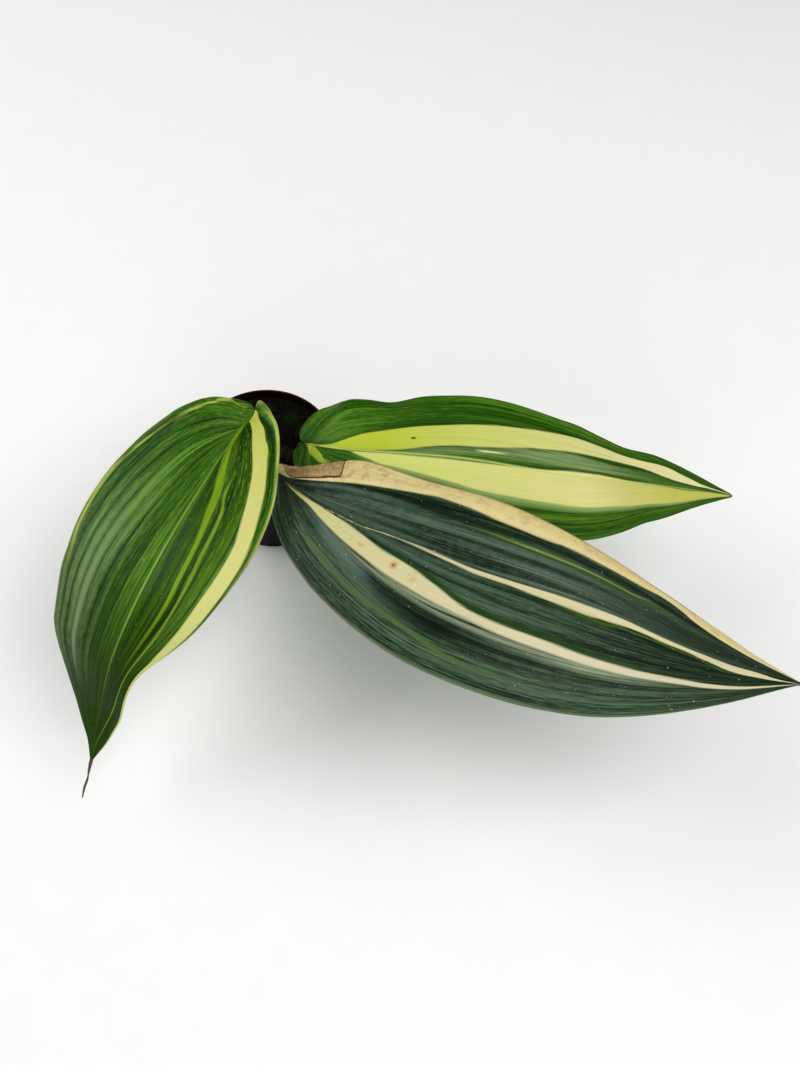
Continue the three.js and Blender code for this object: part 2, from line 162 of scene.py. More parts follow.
# Mesh from parts, worked out as whole arrays. A part has points in mm, faces with their material
# numbers, and may have uv and ridge (a shade value for each point).
def makeMesh(name, parts, materials):
    points, corners, totals, uvs, numbers, ridges = [], [], [], [], [], []
    first = 0
    for part in parts:
        place = part["points"].reshape(-1, 3)
        points.append(place * toMetres)
        uvs.append(part.get("uv", np.zeros((len(place), 2))).reshape(-1, 2))
        ridges.append(part.get("ridge", np.zeros(len(place))).ravel())
        for faces, number in part["faces"]:
            corners.append((faces + first).ravel())
            totals.append(np.full(len(faces), faces.shape[1]))
            numbers.append(np.full(len(faces), number))
        first += len(place)
    points, corners, uvs = np.concatenate(points), np.concatenate(corners), np.concatenate(uvs)
    totals, numbers = np.concatenate(totals), np.concatenate(numbers)
    mesh = bpy.data.meshes.new(name)
    mesh.vertices.add(len(points))
    mesh.vertices.foreach_set("co", points.astype(np.float32).ravel())
    mesh.loops.add(len(corners))
    mesh.loops.foreach_set("vertex_index", corners.astype(np.int32))
    mesh.polygons.add(len(totals))
    mesh.polygons.foreach_set("loop_start", (np.cumsum(totals) - totals).astype(np.int32))
    mesh.polygons.foreach_set("loop_total", totals.astype(np.int32))
    for material in materials:
        mesh.materials.append(material)
    mesh.polygons.foreach_set("material_index", numbers.astype(np.int32))
    mesh.polygons.foreach_set("use_smooth", np.ones(len(totals), bool))
    layer = mesh.uv_layers.new(name="surface")
    layer.data.foreach_set("uv", uvs[corners].astype(np.float32).ravel())
    field = mesh.attributes.new("ridge", "FLOAT", "POINT")
    field.data.foreach_set("value", np.concatenate(ridges).astype(np.float32))
    mesh.update(calc_edges=True)
    return mesh


def addObject(name, data):
    added = bpy.data.objects.new(name, data)
    bpy.context.scene.collection.objects.link(added)
    return added


def makePiece(name, parts, materials, slot, replaced=None):
    piece = addObject(name, makeMesh(name, parts, materials))
    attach(piece, "root")
    if replaced:
        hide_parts(replaced)
    return piece


# Quads between neighbouring rows and columns of a grid; closed joins the last column to the first
def gridFaces(rows, columns, closed=False, flip=False):
    i, j = np.meshgrid(np.arange(rows - 1), np.arange(columns if closed else columns - 1), indexing="ij")
    a = i * columns + j
    b = i * columns + (j + 1) % columns
    quads = np.stack([a, b, b + columns, a + columns], axis=-1).reshape(-1, 4)
    return quads[:, ::-1] if flip else quads


# Smooth curve through values at stations: cubic pieces whose slopes come from the neighbours
def through(values, at, stations=None):
    values = np.asarray(values, float)
    stations = np.linspace(0, 1, len(values)) if stations is None else np.asarray(stations, float)
    wide = (-1,) + (1,) * (values.ndim - 1)
    steps = (values[1:] - values[:-1]) / (stations[1:] - stations[:-1]).reshape(wide)
    inner = (values[2:] - values[:-2]) / (stations[2:] - stations[:-2]).reshape(wide)
    slopes = np.concatenate([steps[:1], inner, steps[-1:]])
    k = np.clip(np.searchsorted(stations, at, side="right") - 1, 0, len(stations) - 2)
    h = stations[k + 1] - stations[k]
    x = (at - stations[k]) / h
    if values.ndim > 1:
        h, x = h[..., None], x[..., None]
    start = values[k] * (1 + 2 * x) * (1 - x) ** 2 + slopes[k] * h * x * (1 - x) ** 2
    return start + values[k + 1] * x * x * (3 - 2 * x) + slopes[k + 1] * h * x * x * (x - 1)


def unit(vectors):
    return vectors / np.linalg.norm(vectors, axis=-1, keepdims=True)


# Points whose coordinates are given as arrays or numbers
def stack(*axes):
    return np.stack(np.broadcast_arrays(*axes), axis=-1)


def turns(count):
    return np.linspace(0, 2 * np.pi, count, endpoint=False)


# Distance along a path, from its start
def runAlong(path):
    return np.concatenate([[0], np.cumsum(np.linalg.norm(np.diff(path, axis=0), axis=1))])


# Across and up at each point of a path
def sideways(path, side):
    along = unit(np.gradient(path, axis=0))
    up = unit(np.cross(np.broadcast_to(side, path.shape), along))
    return np.cross(along, up), up


def smooth(x, low, high):
    x = np.clip((x - low) / (high - low), 0, 1)
    return x * x * (3 - 2 * x)


# Even random numbers in a lattice, blended smoothly between its points: a soft noise from -1 to 1
def softNoise(places, seed):
    cells = np.floor(places).astype(int)
    part = places - cells
    part = part * part * (3 - 2 * part)
    total = np.zeros(places.shape[:-1])
    for corner in np.ndindex(2, 2, 2):
        at = cells + corner
        key = at[..., 0] * 73856093 ^ at[..., 1] * 19349663 ^ at[..., 2] * 83492791 ^ seed * 2654435
        key = (key ^ (key >> 13)) * 1274126177 & 0x7FFFFFFF
        weight = np.prod(np.where(corner, part, 1 - part), axis=-1)
        total += weight * ((key ^ (key >> 16)) % 2048 / 1024 - 1)
    return total


# A closed form from rings of points, with a fan at each end that closes on the two end points
def ringsPart(rings, ends, number, uv=None, flip=False):
    rows, sides = rings.shape[:2]
    k = np.arange(sides)
    after, last = (k + 1) % sides, (rows - 1) * sides
    start, end = stack(rows * sides, after, k), stack(rows * sides + 1, last + k, last + after)
    if flip:
        start, end = start[:, ::-1], end[:, ::-1]
    faces = [(gridFaces(rows, sides, closed=True, flip=flip), number), (start, number), (end, number)]
    points = np.concatenate([rings.reshape(-1, 3), np.asarray(ends, float)])
    uv = np.zeros((rows, sides, 2)) if uv is None else uv
    uv = np.concatenate([uv.reshape(-1, 2), uv[0, :1], uv[-1, :1]])
    return {"points": points, "faces": faces, "uv": uv}


# A rod: rings round a path, with a channel on its upper face.
# Point = path + radius * (cos(angle) * across + sin(angle) * up), less where the channel dips.
def rodPart(path, radii, side, sides, number, channel=0.0):
    across, up = sideways(path, side)
    angles = turns(sides)
    dip = 1 - channel * np.maximum(np.sin(angles), 0) ** 6
    ring = np.cos(angles)[:, None] * across[:, None] + np.sin(angles)[:, None] * up[:, None]
    rings = path[:, None] + (radii.reshape(len(path), -1) * dip)[..., None] * ring
    uv = stack(angles / (2 * np.pi), runAlong(path)[:, None] / 100)
    return ringsPart(rings, [path[0], path[-1]], number, uv, flip=True)


# Leaves
# Left and right are as seen from the base towards the tip, upper face up.
# spine: the midrib. width: half-widths at the stations. fold, curl: how far each half tilts up at the
# midrib, and how far it bends from there to the margin, in degrees, base to tip. edge: how far the
# margin swells out or draws in, base to tip. lobe: how far the base reaches back, the share of that in
# the first row, how soon it is full, and how far it leans over the midrib. ridges: number of pleats.
leafStations = [0, 0.06, 0.16, 0.3, 0.45, 0.6, 0.75, 0.88, 1]

leafLeft = {
    "piece": "leafLeft", "node": "leaf_left", "slot": "leaf_green",
    "foot": [-6, 10], "rise": 46, "reach": 8,
    "spine": [
        [1, -7, 135], [-19, -48, 142], [-50, -116, 140], [-75, -160, 112], [-89, -186, 78], [-96, -208, 58],
    ],
    "tip": [
        [-96, -208, 58], [-98, -213.2, 53.4], [-99.8, -218.3, 48.6], [-102.3, -223, 44.4], [-104, -228, 40],
    ],
    "widthLeft": [1.5, 9, 24, 37, 50, 44, 20, 13, 1], "widthRight": [1.5, 12, 34, 46, 59, 60, 46, 16, 1],
    "foldLeft": [45, 20, 15, 5], "foldRight": [40, 10, 5, 5],
    "curlLeft": [-10, -25, -20, -10], "curlRight": [-20, -25, -25, -10],
    "lobeLeft": [14.5, 0.5, 0.012, 0.45], "lobeRight": [8, 0.5, 0.012, 0],
    "ridgesLeft": 6, "ridgesRight": 10,
    "ripple": 1.5, "waves": 2.5, "pleat": 0.6, "crinkle": 0, "seed": 3,
    "edgeLeft": [0, 0, 0, 0, 0, 0, 0, 0, 0.3, 1.2, 2.4, 2, 1.5, 2, 1.3, 0.3, 0.6, 1.2, 0.9, 1.5, 0.3],
    "edgeRight": [
        0, 3.5, 3, -0.6, -1.2, 0.3, 1.3, 2.2, 3, 3.9, 3.3, 1.3, 0, 0.5, 0, 0, 0, 0, -1.2, -2.2, 0,
    ],
}
leafRight = {
    "piece": "leafRight", "node": "leaf_right", "slot": "leaf_yellow_green",
    "foot": [27, -4], "rise": 20, "reach": 9,
    "spine": [
        [32, -14, 112], [59.4, -23.6, 121], [130.3, -35.1, 130], [202, -48, 130], [250, -47, 118],
        [308, -49, 105],
    ],
    "tip": [[307, -49, 105.2], [308, -49.1, 105], [308.8, -49, 104.8]],
    "widthLeft": [2, 20, 32, 36.8, 41.3, 48, 36, 22, 1], "widthRight": [2, 9, 24, 37, 43, 50, 44, 25, 1],
    "foldLeft": [20, 12, 10, 10], "foldRight": [-15, 5, 10, 10],
    "curlLeft": [-20, -25, -25, -10], "curlRight": [-30, -25, -20, -10],
    "lobeLeft": [8.5, 0.5, 0.012, 0], "lobeRight": [14, 0.2, 0.032, 0], "ridgesLeft": 6, "ridgesRight": 6,
    "ripple": 2.5, "waves": 3.5, "pleat": 0.5, "crinkle": 0, "seed": 5,
    "edgeLeft": [
        0, 0, 0, -0.2, 0.3, -0.6, -1.1, 0.5, 1.2, -0.5, 1.4, -0.3, -0.3, 0.9, 1.9, 2.7, 0.5, -2.3, 1.2,
        1.8, 0.3,
    ],
    "edgeRight": [0, 0, 0, 0, 0, 0, 0, 0, 0, 0, 0, 0, 0, 0.5, 1, 1.8, 1.2, 1.5, 2.6, 1, 0.3],
}
leafFront = {
    "piece": "leafFront", "node": "leaf_front", "slot": "leaf_blue_green",
    "foot": [2, -12], "rise": 26, "reach": 18,
    "spine": [
        [14, -37, 115], [54, -78, 142], [117, -118, 155], [193, -144, 150], [261, -167, 138],
        [322, -181, 125],
    ],
    "tip": [[322, -181, 125], [325, -181.6, 124], [328, -182, 123]],
    "widthLeft": [2, 5, 12, 33, 44, 50, 39, 18, 1], "widthRight": [2, 6, 13, 30, 49, 66, 63, 34, 1],
    "foldLeft": [30, 12, 10, 10], "foldRight": [10, 10, 10, 10],
    "curlLeft": [-10, -20, -20, -10], "curlRight": [-20, -25, -20, -10],
    "lobeLeft": [14, 0.2, 0.03, 0], "lobeRight": [14, 0.2, 0.03, 0], "ridgesLeft": 6, "ridgesRight": 7,
    "ripple": 2, "waves": 3, "pleat": 0.22, "crinkle": 0.8, "seed": 8,
    "edgeLeft": [0, 0, 0, 0, 0, 0, 0, 0, 0, 0, 0, 0, 0, 0, -0.5, -1.1, 0.3, 2.8, 2.5, 0.5, 0],
    "edgeRight": [
        0, 0, 0, 0, 0, 0, 0.5, 1.3, 1.2, 1.3, 0.5, -0.8, -1.3, -1.5, -1.3, -0.8, 0.8, 1.2, -0.2, -0.2, 0,
    ],
}
# rowPitch: how close the rows lie at the base. waveStart: where the ripple starts, left and right.
blade = {
    "rows": 220, "columns": 160, "rowPitch": 0.3, "thickness": 0.5, "marginThickness": 0.22,
    "groove": 0.4, "grooveWidth": 1.3, "veinLift": 0.06, "waveStart": [0.2, 0.55],
    "lobeRoundness": 1.5, "lobeFade": 4, "leanFade": 0.038,
}
stalk = {
    "foot": 69, "radius": 2.8, "neck": 2.1, "sink": 1.25, "channel": 0.3, "keel": 0.75, "keelEnd": 0.97,
    "sides": 24, "steps": 60, "keelSteps": 90, "tipSides": 12, "tipSteps": 40,
    "tipRadius": 0.85, "tipTaper": 0.4, "twist": 5, "flatness": 0.4,
}


# Midrib point at u, with the directions along it, to the leaf's right and out of its upper face
def bladeFrame(leaf, u, share=1):
    spine, t = leaf["spine"], share * (blade["rowPitch"] * u + (1 - blade["rowPitch"]) * u * u)
    before, after = np.clip(t - 1e-4, 0, 1), np.clip(t + 1e-4, 0, 1)
    along = unit(through(spine, after) - through(spine, before))
    side = unit(np.cross(along, [0.0, 0.0, 1.0]))
    return through(spine, t), along, side, np.cross(side, along)


# A value that runs from base to tip, with its own list for the left and the right half
def byHalf(leaf, name, u, v, stations=None):
    return np.where(v < 0, *(through(leaf[name + half], u, stations) for half in ("Left", "Right")))


def halfWidth(leaf, u, v):
    return byHalf(leaf, "width", u, v, leafStations)


# Middle of the blade. u runs from base (0) to tip (1), v from the left margin (-1) to the right (1).
# Each half is an arc that leaves the midrib at the fold angle; the base reaches back in a round lobe.
def bladeSurface(leaf, u, v):
    at, along, side, up = bladeFrame(leaf, u)
    out = np.abs(v)
    width = halfWidth(leaf, u, v) + byHalf(leaf, "edge", u, v) * out ** 2
    fold, curl = (np.radians(byHalf(leaf, name, u, v)) for name in ("fold", "curl"))
    across = width * (np.sin(fold + curl * out) - np.sin(fold)) / curl
    upwards = width * (np.cos(fold) - np.cos(fold + curl * out)) / curl
    start = np.where(v < 0, *blade["waveStart"])
    wave = leaf["ripple"] * out ** 3 * np.sin(np.pi * u) * np.sin(2 * np.pi * (leaf["waves"] * u + start))
    lobes = np.where((v < 0)[..., None], np.array(leaf["lobeLeft"]), np.array(leaf["lobeRight"]))
    height, share, soon, lean = np.moveaxis(lobes, -1, 0)
    turn = 1 - np.exp(-(u / soon) ** 1.5)
    back = height * (share * (1 - turn) + turn) * out ** blade["lobeRoundness"]
    back = back * (1 - u) ** blade["lobeFade"]
    across = across - lean * back * np.exp(-(u / blade["leanFade"]) ** 2)
    place = at + side * (np.sign(v) * across)[..., None] + up * (upwards + wave)[..., None]
    return place - along * back[..., None]


# Veins leave the midrib near the base and spread: on a vein, sign(v) * |v| ** spread(u) stays the same
def veinNumber(u, v):
    x = np.minimum(u / 0.8, 1)
    spread = np.maximum(x ** 1.6 * (2.6 - 1.6 * x), 0.06)
    return np.sign(v) * np.abs(v) ** spread, spread


# Lengthwise pleats: broad crests and narrow valleys that follow the veins. They fade where they would
# crowd, and towards the midrib, the margins and the tip.
def bladeRidges(leaf, u, v):
    vein, spread = veinNumber(u, v)
    out = np.maximum(np.abs(v), 1e-3)
    count = np.where(v < 0, leaf["ridgesLeft"], leaf["ridgesRight"])
    drift = softNoise(stack(vein * 3 + 9, u * 1.5, leaf["seed"]), leaf["seed"])
    crest = np.abs(np.cos(np.pi * count * (vein + 0.06 * drift))) ** 0.6
    pitch = halfWidth(leaf, u, v) * out / (count * spread * np.abs(vein) + 1e-6)
    share = smooth(pitch, 1.5, 5) * smooth(out, 0.02, 0.12) * (1 - smooth(out, 0.86, 1))
    uneven = softNoise(stack(vein * 6, u * 2.5, 0.5), leaf["seed"] + 4)
    share = share * (1 - smooth(u, 0.8, 1)) * (0.65 + 0.5 * uneven)
    return (crest - 0.7) * share


def bladePart(leaf):
    rows, columns = blade["rows"] + 1, blade["columns"] + 1
    u, v = np.meshgrid(np.linspace(0, 1, rows), np.linspace(-1, 1, columns), indexing="ij")
    middle = bladeSurface(leaf, u, v)
    normal = unit(np.cross(np.gradient(middle, axis=1), np.gradient(middle, axis=0)))
    ridges = bladeRidges(leaf, u, v)
    width = halfWidth(leaf, u, v)
    vein, _ = veinNumber(u, v)
    fine = softNoise(stack(vein * 26, u * 5, 2.5), leaf["seed"] + 20)
    dry = smooth(u, 0.1, 0.13) * (1 - smooth(u, 0.31, 0.35)) * smooth(-v, 0.35, 0.5) * leaf["crinkle"]
    crumple = softNoise(middle / 2.2, 41) * 0.6 + softNoise(middle / 0.9, 42) * 0.25
    groove = blade["groove"] * np.exp(-(v * width / blade["grooveWidth"]) ** 2) * (1 - smooth(u, 0.85, 1))
    veins = blade["veinLift"] * fine * smooth(width * u, 2, 8)
    lift = leaf["pleat"] * ridges + veins - groove + dry * crumple
    out = np.abs(v) ** 10
    thick = blade["thickness"] * (1 - out) + blade["marginThickness"] * out
    top = middle + normal * (lift + thick / 2)[..., None]
    below = middle + normal * (lift - thick / 2)[..., None]
    k = np.arange(rows * columns).reshape(rows, columns)
    edge = np.concatenate([k[0, :-1], k[:-1, -1], k[-1, :0:-1], k[:0:-1, 0]])
    after = np.roll(edge, -1)
    under = gridFaces(rows, columns, flip=True) + rows * columns
    rim = stack(edge, edge + rows * columns, after + rows * columns, after)
    uv = stack((v + 1) / 2, u)
    return {
        "points": np.concatenate([top, below]),
        "faces": [(gridFaces(rows, columns), 0), (under, 1), (rim, 0)],
        "uv": np.concatenate([uv, uv]),
        "ridge": np.concatenate([ridges, ridges]),
    }


# Stalk, midrib keel and tip: a rod that rises from the creeping stem and runs on under the blade
def stalkPath(leaf, steps):
    base, along, side, up = (part[0] for part in bladeFrame(leaf, np.zeros(1)))
    foot = np.array([*leaf["foot"], stalk["foot"]], float)
    top = base - up * stalk["sink"] * stalk["neck"]
    knots = [foot, foot + [0, 0, leaf["rise"]], top - along * leaf["reach"], top]
    t = np.linspace(0, 1, steps)[:, None]
    weights = [(1 - t) ** 3, 3 * t * (1 - t) ** 2, 3 * t * t * (1 - t), t ** 3]
    return sum(weight * knot for weight, knot in zip(weights, knots)), side


def stalkParts(leaf):
    path, side = stalkPath(leaf, stalk["steps"])
    radii = np.linspace(stalk["radius"], stalk["neck"], stalk["steps"])
    share = np.linspace(0, 1, stalk["keelSteps"])
    at, _, sides, up = bladeFrame(leaf, share, stalk["keelEnd"])
    thin = stalk["neck"] + (stalk["keel"] - stalk["neck"]) * smooth(share, 0, 0.5)
    path = np.concatenate([path[:-1], at - up * (stalk["sink"] * thin)[:, None]])
    radii = np.concatenate([radii[:-1], thin]) * (1 + 0.04 * softNoise(path / 9, 6))
    across = np.concatenate([np.broadcast_to(side, (stalk["steps"] - 1, 3)), sides])
    rod = rodPart(path, radii, across, stalk["sides"], 2, stalk["channel"])
    # The dried tip is a flattened strip, twisted nearly once round: its radius swings twice round a ring
    t = np.linspace(0, 1, stalk["tipSteps"])[:, None]
    turn = turns(stalk["tipSides"]) - stalk["twist"] * t
    radii = (stalk["tipRadius"] - stalk["tipTaper"] * t) * (1 + stalk["flatness"] * np.cos(2 * turn))
    end = rodPart(through(leaf["tip"], t[:, 0]), radii, side, stalk["tipSides"], 3)
    return [rod, end]


# Leaf finish: stripes and streaks lie in the blade's own coordinates, u along it and v across it
class LeafFinish(Finish):
    def __init__(self, name, seed):
        super().__init__(name)
        x, self.u, _ = self.surface()
        self.v = x * 2 - 1
        self.out = abs(self.v)
        share = (self.u / 0.8).least(1)
        spread = (share ** 1.6 * (2.6 - 1.6 * share)).most(0.06)
        self.vein = ((self.v > 0) * 2 - 1) * self.out ** spread
        self.ridge = self.shade()
        self.fine = self.grain(70, 4, seed, 4, 0.65)
        self.streak = self.grain(22, 2.2, seed + 7, 4, 0.6)
        self.broad = self.grain(6, 2.4, seed + 3, 2, 0.5)
        self.dash = self.grain(90, 16, seed + 5, 2, 0.5)
        self.hair = self.grain(170, 7, seed + 9, 3, 0.6)
        self.fleck = self.grain(75, 45, seed + 11, 3, 0.6)
        self.mottle = self.noise(self.place(), 260, 4, 0.6)
        # Stripe edges step from vein to vein
        self.shifted = self.v + (self.streak - 0.5) * 0.035 + (self.fine - 0.5) * 0.03

    # Noise that is drawn out along the veins: so many grains across a half and along the blade
    def grain(self, across, along, seed, detail, roughness):
        return self.noise(self.vector(self.vein * across, self.u * along, seed), 1, detail, roughness)

    # v of a line that runs along the blade, through points (u, v). Lines, bands, strokes and spots, with
    # their starts, ends and widths, are given in hundredths of u and v.
    def line(self, points):
        first = [] if points[0][0] <= 0 else [(0, points[0][1])]
        last = [] if points[-1][0] >= 100 else [(100, points[-1][1])]
        points = [(u / 100, (v / 100 + 1) / 2) for u, v in [*first, *points, *last]]
        return self.curve(self.u, points) * 2 - 1

    # The part of a mask that lies between its start and its end along the blade, each from u to u
    def within(self, mask, start, end):
        if start:
            mask = mask * self.u.ramp(start[0] / 100, start[1] / 100)
        return mask * (1 - self.u.ramp(end[0] / 100, end[1] / 100)) if end else mask

    # 1 between two lines, with soft edges
    def band(self, low, high, soft=1.2, start=None, end=None):
        above = (self.shifted - self.line(low)).ramp(-soft / 100, soft / 100)
        below = (self.line(high) - self.shifted).ramp(-soft / 100, soft / 100)
        return self.within(above * below, start, end)

    # 1 on a thin line of the given half-width in v
    def stroke(self, points, width, start=None, end=None):
        mask = 1 - abs(self.shifted - self.line(points)).ramp(width * 0.004, width * 0.013)
        return self.within(mask, start, end)

    # Greens from dark to light by streaks and ridges: painted shade in the pleat valleys, painted light on
    # the crests
    def greens(self, dark, middle, light, contrast=1.0, folds=1.0):
        lines = (self.streak - 0.5) + (self.fine - 0.5) * 1.6 + (self.hair - 0.5) * 1.2 + (self.fleck - 0.5)
        # Painted shade along the pleat valleys and painted light on the crests, from the ridge heights
        valleyShade = (self.ridge * -1).ramp(0.1, 0.5) * 0.55
        waves = (self.broad - 0.5) * (0.8 + 0.8 * folds) + (self.ridge.most(0) * 0.4 - valleyShade) * folds
        tone = (lines * contrast + waves + 0.55).clamp()
        shades = self.node("ShaderNodeValToRGB", None, {0: tone})
        stops = shades.socket.node.color_ramp.elements
        stops[0].color, stops[1].color, stops.new(0.5).color = paint(*dark), paint(*light), paint(*middle)
        return shades

    # A painted greyish satin sheen, a highlight laid into the colour on the crests within a region
    def sheen(self, region, *tone):
        crests = self.ridge.ramp(-0.1, 0.3) * 0.7 + 0.3
        share = region * crests * (self.broad + self.mottle * 0.4).ramp(0.5, 0.85)
        self.coat((share * (0.4 + self.fine)).clamp(), *tone)

    # A round spot at (u, v), of a radius in mm, on a blade of the given length and half-width
    def spot(self, u, v, radius, length=330, half=45):
        along, across = (self.u - u / 100) * length, (self.v - v / 100) * half
        reach = (along * along + across * across) / (radius * radius) + (self.mottle - 0.5) * 2
        return 1 - reach.ramp(0.4, 1.4)

    def close(self, roughness, dust=0.0):
        specks = self.noise(self.place(), 620, 1, 0.5).ramp(0.76, 0.79)
        self.coat(specks * dust, 196, 204, 190)
        gloss = (self.fine - 0.5) * 0.3 + (self.mottle - 0.5) * 0.2 + roughness
        return self.finish(gloss, self.fine * 0.7 + self.mottle * 0.3, 0.00018, 0.8, 0.08)


# The line beside a line, so far towards the right margin
def moved(points, by):
    return [(u, v + by) for u, v in points]


def upperLeft(seed):
    f = LeafFinish("leafLeftUpper", seed)
    f.colour = f.greens((14, 42, 4), (46, 88, 12), (92, 134, 42), 1.2)
    warm = f.greens((13, 41, 0), (28, 62, 2), (58, 94, 4), 0.9)
    warm = f.over(warm, (f.fleck * 0.7 + f.fine * 0.8).ramp(0.8, 1.02) * 0.55, 106, 146, 18)
    f.coat(f.v.ramp(-0.8, -0.6) * (1 - f.v.ramp(-0.1, 0)) * 0.95, warm)
    # Painted shade: darker towards the tip, where the blade bends down away from the light
    tipShade = f.mix((f.fine + f.hair).ramp(0.85, 1.2), (8, 28, 0), (44, 72, 16))
    f.coat(f.u.ramp(0.55, 0.76) * 0.9, tipShade)
    f.sheen(f.within(f.v.ramp(0.15, 0.6), (38, 62), (76, 84)), 122, 144, 102)
    bright = f.band(
        [(10, 1), (23, -5), (28, -9), (32, -15), (35, -19), (38, -24), (42, -30), (46, -34), (51, -39),
         (57, -44), (60, -47), (75, -52)],
        [(10, 5), (23, 2), (28, 0), (32, -4), (35, -8), (39, -14), (42, -20), (46, -25), (51, -33),
         (57, -38), (61, -43), (75, -48)], 1.2, (6, 14), (60, 78))
    streaky = bright * (f.fine * 0.8 + f.hair * 0.5 + f.u * 0.3).ramp(0.5, 0.78)
    f.coat(streaky, 114, 148, 14)
    flecked = f.band(
        [(14, -36), (30, -56), (50, -77), (70, -90)],
        [(14, -12), (30, -20), (50, -42), (70, -60)], 6, (12, 20), (56, 68))
    flecks = (f.fleck * 0.8 + f.fine).ramp(0.98, 1.2)
    f.coat(flecked * flecks * 0.6, 122, 154, 30)
    second = f.stroke(
        [(41, -36), (46, -45), (53, -50), (57, -54), (63, -60), (70, -66), (76, -67), (81, -65),
         (88, -52), (94, -32), (97, -18)], 2.2, (36, 42))
    f.coat((second * (0.3 + f.fine)).clamp(), 120, 154, 34)
    cream = f.band(
        [(6, -54), (12, -58), (16, -65), (22, -71), (26, -78), (31, -81), (38, -84), (44, -87),
         (49, -92), (56, -96), (66, -98), (70, -105)],
        [(5, -6), (12, -24), (17, -34), (26, -47), (35, -60), (40, -64), (46, -71), (50, -77),
         (54, -79), (59, -80), (65, -84), (68, -87), (72, -92), (85, -94)], 1.2)
    tone = f.mix(f.u.ramp(0.1, 0.6), (182, 184, 74), (208, 205, 132))
    tone = f.over(tone, f.u.ramp(0.5, 0.7) * 0.6, 184, 190, 104)
    tone = f.over(tone, f.fine.ramp(0.52, 0.72) * 0.2, 184, 190, 92)
    f.coat(cream, tone)
    margin = f.band(
        [(0, -110), (100, -110)],
        [(5, -84), (14, -90), (22, -93), (28, -95), (41, -97)], 1.2, None, (42, 58))
    broken = (f.dash + f.fine * 0.6).ramp(0.6, 0.85)
    margin = margin * (0.35 + broken * 0.6) * (0.55 + f.u.ramp(0.05, 0.2) * 0.45)
    f.coat(margin, 172, 184, 90)
    leftPale = f.stroke(
        [(33, 89), (40, 94), (46, 97), (53, 97), (62, 94)], 2.5, (28, 36), (56, 66))
    topPale = f.stroke([(10, 89), (14, 82), (19, 82), (24, 85)], 4, (6, 10), (22, 30))
    lobePale = f.stroke([(5, 70), (8, 95)], 4, (0, 4), (8, 12))
    pale = (leftPale + topPale + lobePale).clamp() * broken
    f.coat(pale * 0.8, 176, 188, 84)
    lower = f.u.ramp(0.3, 0.55)
    midrib = (1 - (f.out - lower * 0.008).ramp(0.003, 0.009)) * (0.3 + 0.6 * lower)
    f.coat(midrib * (0.75 - f.u.ramp(0.6, 0.92) * 0.75), 140, 172, 66)
    rim = f.out.ramp(0.98, 0.995) * (0.15 + broken * 0.4)
    f.coat(rim, 166, 178, 96)
    return f.close(0.4, 0.25)


